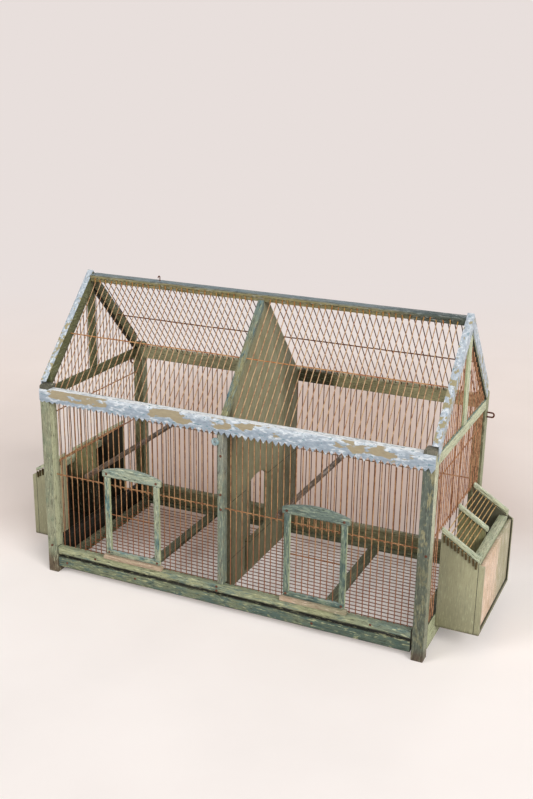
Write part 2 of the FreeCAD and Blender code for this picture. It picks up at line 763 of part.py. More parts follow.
def door(side):
    """A wire door in a wood frame with an arched top, and the sill that it stands on."""
    name = "door_" + side
    centre = "(partition_shift %s door_offset)" % ("+" if side == "right" else "-")
    thick = ("front_face", "door_back")
    edges = {"left": centre + " - door_width / 2", "right": centre + " + door_width / 2"}
    clear = {"left": edges["left"] + " + door_stile", "right": edges["right"] + " - door_stile"}
    rail_top = "door_bottom + door_rail_height"
    tall = (rail_top, "door_head")
    stiles = [lath(name + "_stile_left", (edges["left"], clear["left"]), thick, tall),
              lath(name + "_stile_right", (clear["right"], edges["right"]), thick, tall)]
    group(name + "_stiles", stiles)
    node(lath(name + "_bottom_rail", (edges["left"], edges["right"]), thick, ("door_bottom", rail_top)),
         name + "_bottom_rail")
    low, high = edges["left"] + " - door_overhang", edges["right"] + " + door_overhang"
    arch = [(low, "door_head"), (high, "door_head"),
            (high, "door_head + door_arch_end"), (low, "door_head + door_arch_end")]
    top = board(name + "_top_rail", "XZ_Plane", arch, "door_thick", arcs={2: "door_arch_rise"})
    place(top, y="door_back")
    node(top, name + "_top_rail")
    dia, y = size("wire_dia"), value("(front_face + door_back) / 2")
    foot, head = value(rail_top), size("door_head")
    start, end = value(clear["left"]), value(clear["right"])
    wires = [rod((x, y, foot), (x, y, head), dia) for x in spread(start, end, size("door_wire_pitch"))]
    behind, level = y + dia + size("cross_gap"), size("door_cross_height")
    wires.append(rod((start, behind, level), (end, behind, level), dia))
    for sign in (-1, 1):
        guide = value(centre) + sign * size("guide_offset")
        for height in ("door_bottom + eye_margin", "door_head - eye_margin"):
            wires.append(eye(guide, value(height)))
    made(name + "_wires", wires)
    return lath("sill_" + side, (centre + " - sill_width / 2", centre + " + sill_width / 2"),
                ("front_face - sill_lip", "front_face - sill_lip + sill_depth"),
                ("front_rail_top", "sill_top"))


def pull_out_floor():
    """A wire floor in a wood frame that slides forward on runners under the front rail."""
    node(lath("floor_front_rail", ("-floor_half", "floor_half"), ("front_face", "floor_bars_y"),
              ("floor_rail_bottom", "floor_rail_bottom + floor_rail_height")), "floor_front_rail")
    deep = ("floor_bars_y", "floor_end_y")
    low = ("floor_level", "floor_bar_top")
    inner = "(floor_half - floor_side_width)"
    bars = [lath("floor_rear_bar", ("-" + inner, inner), ("floor_end_y - floor_side_width", "floor_end_y"),
                 low)]
    runners = []
    for side in ("left", "right"):
        bars.append(lath("floor_side_" + side, span(side, inner, "floor_half"), deep,
                         ("runner_top + fit_gap", "floor_bar_top")))
        bars.append(lath("floor_bar_" + side,
                         span(side, "floor_bar_offset - floor_bar_width / 2",
                              "floor_bar_offset + floor_bar_width / 2"),
                         ("floor_bars_y", "floor_end_y - floor_side_width"), low))
        runners.append(lath("runner_" + side, span(side, inner, "half_length - end_board_thick"),
                            ("front_face + post_side", "rear_face - post_side"),
                            ("end_board_bottom", "runner_top")))
    group("floor_bars", bars)
    group("floor_runners", runners)
    half, dia = value(inner), size("wire_dia")
    z = size("floor_level") - dia / 2 - size("cross_gap")
    places = spread(size("floor_bars_y"), value("floor_end_y - floor_side_width"), size("floor_wire_pitch"))
    made("floor_wires", [rod((-half, y, z), (half, y, z), dia) for y in places])


def pair_of(piece, name):
    """A piece of the right feeder and its mirror image on the left one."""
    return [piece, mirrored(piece, name + "_left", "x")]


def feeders():
    """A box on each end: grooved sides, a divider, a floor, wires under battens and a lifting board."""
    side_corners = [
        ("half_length", "feeder_bottom"),
        ("feeder_end", "feeder_bottom"),
        ("feeder_end", "feeder_outer_top"),
        ("half_length", "feeder_inner_top"),
    ]
    side = board("feeder_side", "XZ_Plane", side_corners, "feeder_wall")
    groove_top = "feeder_inner_top + cut_overrun"
    groove = [("groove_inner", "feeder_floor_top"), ("groove_outer", "feeder_floor_top"),
              ("groove_outer", groove_top), ("groove_inner", groove_top)]
    cut(side, "feeder_groove", "XZ_Plane", groove, "groove_depth")
    place(side, y="feeder_front + feeder_wall")
    rear_side = mirrored(side, "feeder_side_rear", "y", "middle")
    group("feeder_side_panels", pair_of(side, "feeder_side") + pair_of(rear_side, "feeder_side_rear"))

    def slope_at(x):
        return "feeder_slope * (%s - half_length)" % x

    rail_bottom = "feeder_rail_top - feeder_rail_height"
    divider_corners = [
        ("half_length", "feeder_floor_top"),
        ("groove_inner", "feeder_floor_top"),
        ("groove_inner", rail_bottom),
        ("feeder_rail_x", rail_bottom),
        ("feeder_rail_x", "feeder_inner_top - " + slope_at("feeder_rail_x")),
        ("half_length", "feeder_inner_top"),
    ]
    divider = board("feeder_divider", "XZ_Plane", divider_corners, "divider_thick")
    place(divider, y="middle + divider_thick / 2")
    group("feeder_dividers", pair_of(divider, "feeder_divider"))

    inside = ("feeder_front + feeder_wall", "feeder_rear - feeder_wall")
    floor = lath("feeder_floor", ("half_length", "feeder_end"), inside, ("feeder_bottom", "feeder_floor_top"))
    group("feeder_floors", pair_of(floor, "feeder_floor"))

    battens = pair_of(lath("feeder_rail", ("feeder_rail_x", "groove_inner"), inside,
                           (rail_bottom, "feeder_rail_top")), "feeder_rail")
    lap_end = "(feeder_rail_x + batten_lap)"
    for name, centre, outer in (("batten_front", "feeder_front + feeder_wall / 2", "groove_inner"),
                                ("batten_middle", "middle", lap_end),
                                ("batten_rear", "feeder_rear - feeder_wall / 2", "groove_inner")):
        batten_corners = [
            ("half_length", "batten_under"),
            (outer, "batten_under - " + slope_at(outer)),
            (outer, "batten_over - " + slope_at(outer)),
            ("half_length", "batten_over"),
        ]
        batten = board(name, "XZ_Plane", batten_corners, "batten_width")
        place(batten, y=centre + " + batten_width / 2")
        battens += pair_of(batten, name)
    group("feeder_battens", battens)

    dia, slope, stretch = size("wire_dia"), size("feeder_slope"), size("feeder_stretch")
    inner, end = size("half_length"), size("feeder_wire_end")
    front, rear = size("feeder_front") - end, size("feeder_rear") + end
    wires = []
    for x in spread(inner, size("feeder_rail_x"), size("feeder_wire_pitch") / stretch):
        z = size("feeder_inner_top") - slope * (x - inner) + dia / 2 * stretch
        wires += [rod((sign * x, front, z), (sign * x, rear, z), dia) for sign in (-1, 1)]
    made("feeder_wires", wires)

    lift = lath("feeder_board_right", ("groove_inner + fit_gap", "groove_outer - fit_gap"),
                ("feeder_front + feeder_wall - groove_depth + fit_gap",
                 "feeder_rear - feeder_wall + groove_depth - fit_gap"),
                ("feeder_floor_top + fit_gap", "feeder_outer_top"))
    node(lift, "feeder_board_right")
    node(mirrored(lift, "feeder_board_left", "x"), "feeder_board_left")


def fittings():
    """Hanging staples on the rear posts, the ridge's hook and the disc on the centre post."""
    dia, half = size("staple_wire"), size("half_length")
    y, level = size("rear_face") - size("post_side") / 2, size("staple_level")
    bend = (size("staple_height") - dia) / 2
    reach = size("staple_out") - dia / 2 - bend
    staples = []
    for sign in (-1, 1):
        root, turn = sign * half, sign * (half + reach)
        tip = sign * (half + reach + bend)
        upper, lower = FreeCAD.Vector(turn, y, level + bend), FreeCAD.Vector(turn, y, level - bend)
        staples.append(bent_rod([
            Part.makeLine(FreeCAD.Vector(root, y, level + bend), upper),
            Part.Arc(upper, FreeCAD.Vector(tip, y, level), lower).toShape(),
            Part.makeLine(lower, FreeCAD.Vector(root, y, level - bend)),
        ], dia))
    made("hanging_staples", staples)

    x, middle, top, turn = -size("hook_place"), size("middle"), size("ridge_height"), size("hook_bend")
    neck = top + size("hook_rise") - turn - size("hook_wire") / 2
    hook = bent_rod([
        Part.makeLine(FreeCAD.Vector(x, middle, top), FreeCAD.Vector(x, middle, neck)),
        Part.Arc(FreeCAD.Vector(x, middle, neck), FreeCAD.Vector(x, middle - turn, neck + turn),
                 FreeCAD.Vector(x, middle - 2 * turn, neck)).toShape(),
    ], size("hook_wire"))
    made("ridge_hook", [hook])

    rounds = []
    for name, across, start, thick in (
            ("disc_blank", "disc_dia", "0", "disc_thick"),
            ("disc_bore", "disc_hole", "cut_overrun", "disc_thick + 2 * cut_overrun")):
        blank = doc.addObject("Part::Cylinder", name)
        blank.setExpression("Radius", bound(across + " / 2"))
        blank.setExpression("Height", bound(thick))
        blank.Placement = FreeCAD.Placement(
            FreeCAD.Vector(), FreeCAD.Rotation(FreeCAD.Vector(1, 0, 0), 90))
        place(blank, "partition_shift - disc_shift", "front_face + centre_post_setback + " + start,
              "disc_level")
        rounds.append(blank)
    disc = doc.addObject("Part::Cut", "disc")
    disc.Base, disc.Tool = rounds
    node(disc, "disc")


def write_parts():
    """Check every object and write each sub-part to its own file."""
    doc.recompute()
    for item in doc.Objects:
        if {"Invalid", "Error"} & set(item.State):
            raise ValueError("%s failed: %s" % (item.Label, item.State))
    for piece in nodes:
        if piece.Shape.isNull() or not piece.Shape.isValid() or not piece.Shape.Solids:
            raise ValueError(piece.Label + " has no valid solid")
    os.makedirs("parts", exist_ok=True)
    for piece in nodes:
        piece.Shape.exportStep("parts/%s.step" % piece.Label)
    print("%d sub-parts, %d solids" % (len(nodes), sum(len(piece.Shape.Solids) for piece in nodes)))


fill_sheet()
frame_posts()
frame_rails()
gable_rafters()
toothed_strips()
partition()
shutter()
front_wires()
rear_wires()
roof_wires()
end_wires()
wall_cross_wires()
perches()
group("door_sills", [door(side) for side in ("left", "right")])
pull_out_floor()
feeders()
fittings()
write_parts()
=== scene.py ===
"""An old house-shaped bird cage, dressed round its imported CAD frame.

Sizes are written in millimetres and turned to metres where a mesh or a pattern takes them.
Angles are written in degrees.
"""
import json
import logging
import math
import random
from contextlib import contextmanager
from dataclasses import dataclass
from enum import Enum
from typing import Callable, ClassVar, Iterator, Union

import bmesh
import bpy
import numpy as np
from bpy.types import Material, Mesh, Node, NodeSocket, NodeTree, Object
from mathutils import Matrix, Vector


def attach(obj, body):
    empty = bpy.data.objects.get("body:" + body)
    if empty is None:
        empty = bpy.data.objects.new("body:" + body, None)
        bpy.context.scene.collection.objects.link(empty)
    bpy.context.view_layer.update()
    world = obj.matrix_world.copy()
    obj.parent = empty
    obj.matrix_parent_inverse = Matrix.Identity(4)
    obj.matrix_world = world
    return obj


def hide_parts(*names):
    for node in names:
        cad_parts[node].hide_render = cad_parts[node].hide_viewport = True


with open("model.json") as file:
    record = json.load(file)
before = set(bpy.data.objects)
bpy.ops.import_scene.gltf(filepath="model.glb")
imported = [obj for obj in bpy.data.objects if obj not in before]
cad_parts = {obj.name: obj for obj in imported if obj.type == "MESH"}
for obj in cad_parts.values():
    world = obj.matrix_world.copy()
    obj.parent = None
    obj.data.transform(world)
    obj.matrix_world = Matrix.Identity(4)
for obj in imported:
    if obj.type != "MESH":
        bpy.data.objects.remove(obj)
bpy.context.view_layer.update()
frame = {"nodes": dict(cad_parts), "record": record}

MM = 0.001
GRAIN = "grain"
SHADE_AND_DIRT = "soil"
BODY_OF = {node: body for body, nodes in frame["record"]["behaviour"]["bodies"].items() for node in nodes}

# Vertices nearer than this are one corner, and faces that turn less than this are one face.
WELD = 0.005
FLAT = 1.0

# Faces that meet at less than this shade as one surface.
WOOD_SMOOTH = 40.0
WIRE_SMOOTH = 50.0
IRON_SMOOTH = 70.0

# The boards' patterns start at places up to this many metres apart, so that no two boards look alike.
GRAIN_APART = 3

# Most of a noise lies between the low and the high value, round the middle.
NOISE_LOW = 0.3
NOISE_MIDDLE = 0.5
NOISE_HIGH = 0.7

# The Mix node's colour sockets, by number because their names repeat.
MIX_UNDER = 6
MIX_OVER = 7
MIX_RESULT = 2

Source = Union[Node, NodeSocket]
log = logging.getLogger("bird_cage")


class Axis(Enum):
    """The part's directions: along the cage, from front to rear, and up."""

    LENGTH = (1.0, 0.0, 0.0)
    DEPTH = (0.0, 1.0, 0.0)
    HEIGHT = (0.0, 0.0, 1.0)


def linear(code: str) -> tuple[float, float, float, float]:
    """Turn an sRGB hex colour to the linear values that shaders take, by the standard's curve.

    Args:
        code: The colour as #rrggbb.

    Returns:
        Red, green, blue and alpha.
    """
    parts = [int(code[place:place + 2], 16) / 255 for place in (1, 3, 5)]
    curve = [part / 12.92 if part <= 0.04045 else ((part + 0.055) / 1.055) ** 2.4 for part in parts]
    return (*curve, 1.0)


def add_node(tree: NodeTree, kind: str, settings: dict | None = None, links: dict | None = None) -> Node:
    """Add a shader node with its settings and links.

    Args:
        tree: The node tree.
        kind: Blender's name for the node's kind, without its ShaderNode.
        settings: Values by property name, or by input name or number.
        links: What feeds an input, by the input's name or number. A node stands for its first output.

    Returns:
        The new node.
    """
    node = tree.nodes.new("ShaderNode" + kind)
    for key, value in (settings or {}).items():
        if isinstance(key, str) and hasattr(node, key):
            setattr(node, key, value)
        else:
            node.inputs[key].default_value = value
    for key, source in (links or {}).items():
        tree.links.new(source.outputs[0] if isinstance(source, Node) else source, node.inputs[key])
    return node


def lay_coats(tree: NodeTree, first: str, coats: list[tuple[Source, str]]) -> NodeSocket:
    """Lay tints over each other, each by its own mask.

    Args:
        tree: The node tree.
        first: The lowest tint.
        coats: A mask and a tint for each coat, in order.

    Returns:
        The mixed colour.
    """
    colour = None
    for mask, tint in coats:
        mix = add_node(tree, "Mix", {"data_type": "RGBA", MIX_OVER: linear(tint)}, {0: mask})
        if colour:
            tree.links.new(colour, mix.inputs[MIX_UNDER])
        else:
            mix.inputs[MIX_UNDER].default_value = linear(first)
        colour = mix.outputs[MIX_RESULT]
    return colour


def toned(tree: NodeTree, colour: Source, noise: Source, dull: float, bright: float) -> NodeSocket:
    """Darken and brighten a colour by a noise.

    Args:
        tree: The node tree.
        colour: The colour.
        noise: The noise.
        dull: What the colour is multiplied by where the noise is low.
        bright: What it is multiplied by where the noise is high.

    Returns:
        The toned colour.
    """
    tone = add_node(tree, "MapRange",
                    {"From Min": NOISE_LOW, "From Max": NOISE_HIGH, "To Min": dull, "To Max": bright},
                    {"Value": noise})
    return add_node(tree, "VectorMath", {"operation": "SCALE"}, {0: colour, "Scale": tone}).outputs[0]


def shown_as_background(tree: NodeTree) -> Node:
    """Tell the rays that show the background from those that light the cage.

    Args:
        tree: The node tree of the floor's material or of the world.

    Returns:
        A node that gives 1 for a ray of the camera, in a gloss or through glass, and 0 for the others.
    """
    rays = add_node(tree, "LightPath").outputs
    seen = add_node(tree, "Math", {"operation": "MAXIMUM"},
                    {0: rays["Is Camera Ray"], 1: rays["Is Glossy Ray"]})
    return add_node(tree, "Math", {"operation": "MAXIMUM"}, {0: seen, 1: rays["Is Transmission Ray"]})


@dataclass(frozen=True)
class Fade:
    """A tint that comes in along one direction of the part, over a ragged border."""

    tint: str
    axis: Axis
    start: float
    end: float
    share: float = 1.0
    ragged: float = 30.0

    def mask(self, tree: NodeTree, place: Source, noise: Source) -> NodeSocket:
        """Make the fade's mask.

        Args:
            tree: The node tree.
            place: The place on the part.
            noise: The noise that frays the border.

        Returns:
            The mask, from none to the share.
        """
        reach = add_node(tree, "VectorMath", {"operation": "DOT_PRODUCT", 1: self.axis.value}, {0: place})
        frayed = add_node(tree, "Math", {"operation": "MULTIPLY_ADD", 1: self.ragged * MM},
                          {0: noise, 2: reach.outputs["Value"]})
        first, last = ((edge + self.ragged / 2) * MM for edge in (self.start, self.end))
        settings = {"interpolation_type": "SMOOTHSTEP", "From Min": first, "From Max": last,
                    "To Max": self.share}
        return add_node(tree, "MapRange", settings, {"Value": frayed}).outputs[0]


@dataclass(frozen=True)
class Seam:
    """A dark joint between two boards of one panel, at a place and at its mirror image."""

    axis: Axis
    place: float
    width: float = 1.2

    def mask(self, tree: NodeTree, place: Source) -> NodeSocket:
        """Make the seam's mask.

        Args:
            tree: The node tree.
            place: The place on the part.

        Returns:
            The mask.
        """
        reach = add_node(tree, "VectorMath", {"operation": "DOT_PRODUCT", 1: self.axis.value}, {0: place})
        even = add_node(tree, "Math", {"operation": "ABSOLUTE"}, {0: reach.outputs["Value"]})
        return add_node(tree, "Math", {"operation": "COMPARE", 1: self.place * MM, 2: self.width / 2 * MM},
                        {0: even}).outputs[0]


@dataclass(frozen=True)
class Finish:
    """What a surface is made of. Each kind of finish lays its own nodes."""

    name: str

    def material(self) -> Material:
        """Make the finish's material, or give the one already made.

        Returns:
            The material.
        """
        made = bpy.data.materials.get(self.name)
        if made:
            return made
        made = bpy.data.materials.new(self.name)
        made.use_nodes = True
        tree = made.node_tree
        tree.nodes.clear()
        shader = add_node(tree, "BsdfPrincipled")
        output = add_node(tree, "OutputMaterial", links={"Surface": shader})
        self.lay(tree, shader, output)
        return made

    def lay(self, tree: NodeTree, shader: Node, output: Node) -> None:
        """Lay the finish's nodes in a material's tree and link them to its shader or its output."""
        raise NotImplementedError


@dataclass(frozen=True)
class LayeredPaint(Finish):
    """Two coats of old oil paint, brushed on sawn softwood and rubbed through to each other. The eye sees fine
    streaks along the grain, pale and dark flecks, bare wood on the edges and dark cracks. The flecks and the
    cracks are finer on the real wood and are drawn as coarse as they need to show."""

    coat: str
    old_coat: str
    pale: str = "#c3c6a2"
    grime: str = "#2c2a20"
    # Painted shade, with some dirt: the nearly black tint of faces that look into the cage or a box.
    soil: str = "#14120c"
    bare: str = "#8a7a64"
    top_coat: str = ""
    # Painted light: faces that turn to the right take this paler tint.
    lit_side_coat: str = ""
    hold: float = 0.5
    soft: float = 0.05
    area: float = 18.0
    area_stretch: float = 2.2
    streak: float = 3.0
    stretch: float = 6.0
    fleck: float = 2.1
    fleck_stretch: float = 5.0
    fleck_soft: float = 0.07
    crack: float = 2.2
    crack_stretch: float = 40.0
    crack_width: float = 0.016
    crack_share: float = 0.6
    noise_roughness: float = 0.62
    pale_from: float = 0.57
    pale_share: float = 0.75
    grime_to: float = 0.4
    grime_share: float = 0.75
    bare_from: float = 0.7
    bare_soft: float = 0.02
    edge_width: float = 2.0
    edge_turn: float = 0.8
    edge_samples: int = 4
    edge_wear: float = 0.08
    edge_grime: float = 0.06
    face_from: float = 0.4
    face_to: float = 0.85
    top_share: float = 0.75
    lit_side_share: float = 0.85
    contrast: float = 0.2
    coat_roughness: float = 0.52
    old_roughness: float = 0.84
    specular: float = 0.2
    relief: float = 0.7
    relief_depth: float = 0.35
    fades: tuple[Fade, ...] = ()
    seams: tuple[Seam, ...] = ()

    def noises(self, tree: NodeTree) -> dict[str, NodeSocket]:
        """Make the noises that follow the grain.

        Args:
            tree: The node tree.

        Returns:
            The noises by name.
        """
        grain = add_node(tree, "Attribute", {"attribute_name": GRAIN}).outputs["Vector"]
        made = {}
        for key, width, stretch, octaves in (
            ("areas", self.area, self.area_stretch, 3.0),
            ("streaks", self.streak, self.stretch, 5.0),
            ("flecks", self.fleck, self.fleck_stretch, 3.0),
            ("cracks", self.crack, self.crack_stretch, 2.0),
        ):
            steps = (1 / (width * stretch * MM), 1 / (width * MM), 1 / (width * MM))
            scaled = add_node(tree, "VectorMath", {"operation": "MULTIPLY", 1: steps}, {0: grain})
            made[key] = add_node(tree, "TexNoise",
                                 {"Scale": 1.0, "Detail": octaves, "Roughness": self.noise_roughness},
                                 {"Vector": scaled}).outputs[0]
        return made

    def masks(self, tree: NodeTree, noises: dict[str, NodeSocket]) -> dict[str, NodeSocket]:
        """Make the masks of the coats, the wear, the dirt, and the painted light and shade.

        Args:
            tree: The node tree.
            noises: The noises by name.

        Returns:
            The masks by name.
        """
        normal = add_node(tree, "NewGeometry").outputs["True Normal"]
        facing = add_node(tree, "SeparateXYZ", links={0: normal})
        rounded = add_node(tree, "Bevel", {"samples": self.edge_samples, "Radius": self.edge_width * MM})
        turn = add_node(tree, "VectorMath", {"operation": "DOT_PRODUCT"}, {0: rounded, 1: normal})
        edge = add_node(tree, "MapRange", {"From Min": 1.0, "From Max": self.edge_turn},
                        {"Value": turn.outputs["Value"]})
        blend = add_node(tree, "Math", {"operation": "ADD"}, {0: noises["areas"], 1: noises["streaks"]})
        half = add_node(tree, "Math", {"operation": "MULTIPLY", 1: 0.5}, {0: blend})
        wear, rub, dirt = (
            add_node(tree, "Math", {"operation": "MULTIPLY_ADD", 1: share}, {0: edge, 2: noise})
            for share, noise in (
                (self.edge_wear, half),
                (self.edge_wear * 2, noises["streaks"]),
                (-self.edge_grime, noises["flecks"]),
            )
        )
        split = add_node(tree, "Math", {"operation": "COMPARE", 1: NOISE_MIDDLE, 2: self.crack_width},
                         {0: noises["cracks"]})
        soil = add_node(tree, "Attribute", {"attribute_name": SHADE_AND_DIRT}).outputs["Fac"]
        made = {}
        for key, source, low, high, share in (
            ("old", wear, self.hold - self.soft, self.hold + self.soft, 1.0),
            ("bare", rub, self.bare_from - self.bare_soft, self.bare_from + self.bare_soft, 1.0),
            ("pale", noises["flecks"], self.pale_from, self.pale_from + self.fleck_soft, self.pale_share),
            ("grime", dirt, self.grime_to, self.grime_to - self.fleck_soft, self.grime_share),
            ("top", facing.outputs["Z"], self.face_from, self.face_to, self.top_share),
            ("side", facing.outputs["X"], self.face_from, self.face_to, self.lit_side_share),
            ("crack", split, 0.0, 1.0, self.crack_share),
            ("soil", soil, 0.0, 1.0, 1.0),
        ):
            made[key] = add_node(tree, "MapRange", {"From Min": low, "From Max": high, "To Max": share},
                                 {"Value": source}).outputs[0]
        return made

    def lay(self, tree: NodeTree, shader: Node, output: Node) -> None:
        """Lay the coats with their wear, dirt, painted light and shade, relief and gloss.

        Args:
            tree: The material's node tree.
            shader: Its principled shader.
            output: Its output, not used here.
        """
        noises = self.noises(tree)
        masks = self.masks(tree, noises)
        place = add_node(tree, "TexCoord").outputs["Object"]
        coats = [(masks["old"], self.old_coat)]
        # Faces that turn up take the top coat, and faces that turn to the right take the paler tint of painted
        # light.
        turned = (("top", self.top_coat), ("side", self.lit_side_coat))
        coats += [(masks[key], tint) for key, tint in turned if tint]
        coats += [(fade.mask(tree, place, noises["areas"]), fade.tint) for fade in self.fades]
        coats += [(masks["pale"], self.pale), (masks["bare"], self.bare)]
        coats += [(masks["grime"], self.grime), (masks["crack"], self.grime)]
        coats += [(seam.mask(tree, place), self.grime) for seam in self.seams]
        # Painted shade, with some dirt, turns faces that look inwards nearly black.
        coats += [(masks["soil"], self.soil)]
        colour = lay_coats(tree, self.coat, coats)
        colour = toned(tree, colour, noises["streaks"], 1 - self.contrast, 1 + self.contrast)
        tree.links.new(colour, shader.inputs["Base Color"])
        height = add_node(tree, "Math", {"operation": "SUBTRACT"}, {0: noises["streaks"], 1: masks["crack"]})
        bump = add_node(tree, "Bump", {"Strength": self.relief, "Distance": self.relief_depth * MM},
                        {"Height": height})
        tree.links.new(bump.outputs[0], shader.inputs["Normal"])
        gloss = add_node(tree, "MapRange", {"To Min": self.coat_roughness, "To Max": self.old_roughness},
                         {"Value": masks["old"]})
        tree.links.new(gloss.outputs[0], shader.inputs["Roughness"])
        shader.inputs["Specular IOR Level"].default_value = self.specular


@dataclass(frozen=True)
class FlakedTin(Finish):
    """Pale blue paint on folded tin, come off in crisp flakes down to an ochre priming. The eye sees a chalky
    fold, sharp ochre islands and small teal chips."""

    coat: str
    fold: str
    priming: str
    chip: str = "#567a82"
    speck: str = "#828e9a"
    chalk: str = "#e9edef"
    axis: Axis = Axis.LENGTH
    stretches: tuple[tuple[float, float], ...] = ()
    fades: tuple[Fade, ...] = ()
    hold: float = 0.63
    flake_edge: float = 0.01
    peel: float = 0.17
    island: float = 13.0
    stretch: float = 2.6
    band_from: float = -1.0
    band_to: float = 0.0
    fold_from: float = 0.3
    fold_to: float = 0.8
    fold_share: float = 0.85
    chip_size: float = 3.5
    chip_from: float = 0.6
    chip_to: float = 0.64
    chip_share: float = 0.85
    speck_size: float = 4.2
    speck_from: float = 0.5
    speck_to: float = 0.66
    speck_share: float = 0.6
    chalk_from: float = 0.46
    chalk_to: float = 0.36
    chalk_share: float = 0.6
    noise_roughness: float = 0.55
    dull: float = 0.88
    bright: float = 1.1
    roughness: float = 0.6
    relief: float = 0.6
    relief_depth: float = 0.3

    def noises(self, tree: NodeTree, place: Source) -> dict[str, NodeSocket]:
        """Make the noises, drawn out along the strip.

        Args:
            tree: The node tree.
            place: The place on the part.

        Returns:
            The noises by name.
        """
        drawn = [1.0 - (1.0 - 1.0 / self.stretch) * abs(part) for part in self.axis.value]
        along = add_node(tree, "VectorMath", {"operation": "MULTIPLY", 1: drawn}, {0: place})
        made = {}
        for key, width, octaves in (
            ("islands", self.island, 5.0), ("chips", self.chip_size, 3.0), ("specks", self.speck_size, 4.0),
        ):
            settings = {"Scale": 1 / (width * MM), "Detail": octaves, "Roughness": self.noise_roughness}
            made[key] = add_node(tree, "TexNoise", settings, {"Vector": along}).outputs[0]
        return made

    def looseness(self, tree: NodeTree, place: Source, islands_noise: Source) -> Node:
        """Make the paint looser in the strip's stretches and tighter in its band.

        Args:
            tree: The node tree.
            place: The place on the part.
            islands_noise: The noise that the flakes' outlines come from.

        Returns:
            A node that gives how loose the paint is.
        """
        reach = add_node(tree, "VectorMath", {"operation": "DOT_PRODUCT", 1: self.axis.value}, {0: place})
        height = add_node(tree, "SeparateXYZ", links={0: place}).outputs["Z"]
        limits = {"From Min": self.band_from * MM, "From Max": self.band_to * MM}
        band = add_node(tree, "MapRange", {"To Min": -self.peel, "To Max": 0.0, **limits}, {"Value": height})
        loose = add_node(tree, "Math", {"operation": "ADD"}, {0: islands_noise, 1: band})
        for start, end in self.stretches:
            half = (end - start) / 2 * MM
            off = add_node(tree, "Math", {"operation": "SUBTRACT", 1: (start + end) / 2 * MM},
                           {0: reach.outputs["Value"]})
            far = add_node(tree, "Math", {"operation": "ABSOLUTE"}, {0: off})
            within = add_node(tree, "MapRange", {"From Min": half, "From Max": half / 2, "To Max": self.peel},
                              {"Value": far})
            loose = add_node(tree, "Math", {"operation": "ADD"}, {0: loose, 1: within})
        return loose

    def lay(self, tree: NodeTree, shader: Node, output: Node) -> None:
        """Lay the paint, its specks and chips and the bare flakes.

        Args:
            tree: The material's node tree.
            shader: Its principled shader.
            output: Its output, not used here.
        """
        place = add_node(tree, "TexCoord").outputs["Object"]
        noises = self.noises(tree, place)
        loose = self.looseness(tree, place, noises["islands"])
        normal = add_node(tree, "NewGeometry").outputs["True Normal"]
        level = add_node(tree, "SeparateXYZ", links={0: normal}).outputs["Z"]
        masks = {}
        for key, source, low, high, share in (
            ("fold", level, self.fold_from, self.fold_to, self.fold_share),
            ("speck", noises["specks"], self.speck_from, self.speck_to, self.speck_share),
            ("chalk", noises["specks"], self.chalk_from, self.chalk_to, self.chalk_share),
            ("chip", noises["chips"], self.chip_from, self.chip_to, self.chip_share),
            ("off", loose, self.hold - self.flake_edge, self.hold + self.flake_edge, 1.0),
            ("upright", level, self.fold_to, self.fold_from, 1.0),
        ):
            masks[key] = add_node(tree, "MapRange", {"From Min": low, "From Max": high, "To Max": share},
                                  {"Value": source})
        flaked = add_node(tree, "Math", {"operation": "MULTIPLY"}, {0: masks["off"], 1: masks["upright"]})
        coats = [(fade.mask(tree, place, noises["chips"]), fade.tint) for fade in self.fades]
        coats += [(masks["fold"], self.fold), (masks["speck"], self.speck), (masks["chalk"], self.chalk)]
        coats += [(masks["chip"], self.chip), (flaked, self.priming)]
        colour = toned(tree, lay_coats(tree, self.coat, coats), noises["chips"], self.dull, self.bright)
        tree.links.new(colour, shader.inputs["Base Color"])
        height = add_node(tree, "Math", {"operation": "SUBTRACT"}, {0: noises["chips"], 1: flaked})
        bump = add_node(tree, "Bump", {"Strength": self.relief, "Distance": self.relief_depth * MM},
                        {"Height": height})
        tree.links.new(bump.outputs[0], shader.inputs["Normal"])
        shader.inputs["Roughness"].default_value = self.roughness


@dataclass(frozen=True)
class RustyIron(Finish):
    """Drawn iron wire under old rust. The eye sees a dry tan skin with darker spots and pits, redder near the
    floor. The pits are finer on real wire and are drawn as coarse as they need to show."""

    skin: str
    spots: str
    pits: str
    low_skin: str = ""
    low_axis: Axis = Axis.HEIGHT
    low_from: float = 190.0
    low_to: float = 90.0
    low_share: float = 0.85
    spot: float = 7.0
    spot_from: float = 0.44
    spot_to: float = 0.6
    pit: float = 0.9
    pit_from: float = 0.58
    pit_to: float = 0.7
    octaves: float = 4.0
    noise_roughness: float = 0.65
    roughness: float = 0.85
    specular: float = 0.15
    relief: float = 0.6
    relief_depth: float = 0.2

    def lay(self, tree: NodeTree, shader: Node, output: Node) -> None:
        """Lay the skin, the spots and the pits.

        Args:
            tree: The material's node tree.
            shader: Its principled shader.
            output: Its output, not used here.
        """
        place = add_node(tree, "TexCoord").outputs["Object"]
        spots, pits = (
            add_node(tree, "TexNoise",
                     {"Scale": 1 / (width * MM), "Detail": self.octaves, "Roughness": self.noise_roughness},
                     {"Vector": place})
            for width in (self.spot, self.pit)
        )
        spotted, pitted = (
            add_node(tree, "MapRange", {"From Min": low, "From Max": high}, {"Value": noise})
            for noise, low, high in ((spots, self.spot_from, self.spot_to), (pits, self.pit_from, self.pit_to))
        )
        coats = [(spotted, self.spots)]
        if self.low_skin:
            low = Fade(self.low_skin, self.low_axis, self.low_from, self.low_to, self.low_share)
            coats.append((low.mask(tree, place, spots), low.tint))
        colour = lay_coats(tree, self.skin, coats + [(pitted, self.pits)])
        tree.links.new(colour, shader.inputs["Base Color"])
        bump = add_node(tree, "Bump", {"Strength": self.relief, "Distance": self.relief_depth * MM},
                        {"Height": pits})
        tree.links.new(bump.outputs[0], shader.inputs["Normal"])
        shader.inputs["Roughness"].default_value = self.roughness
        shader.inputs["Specular IOR Level"].default_value = self.specular


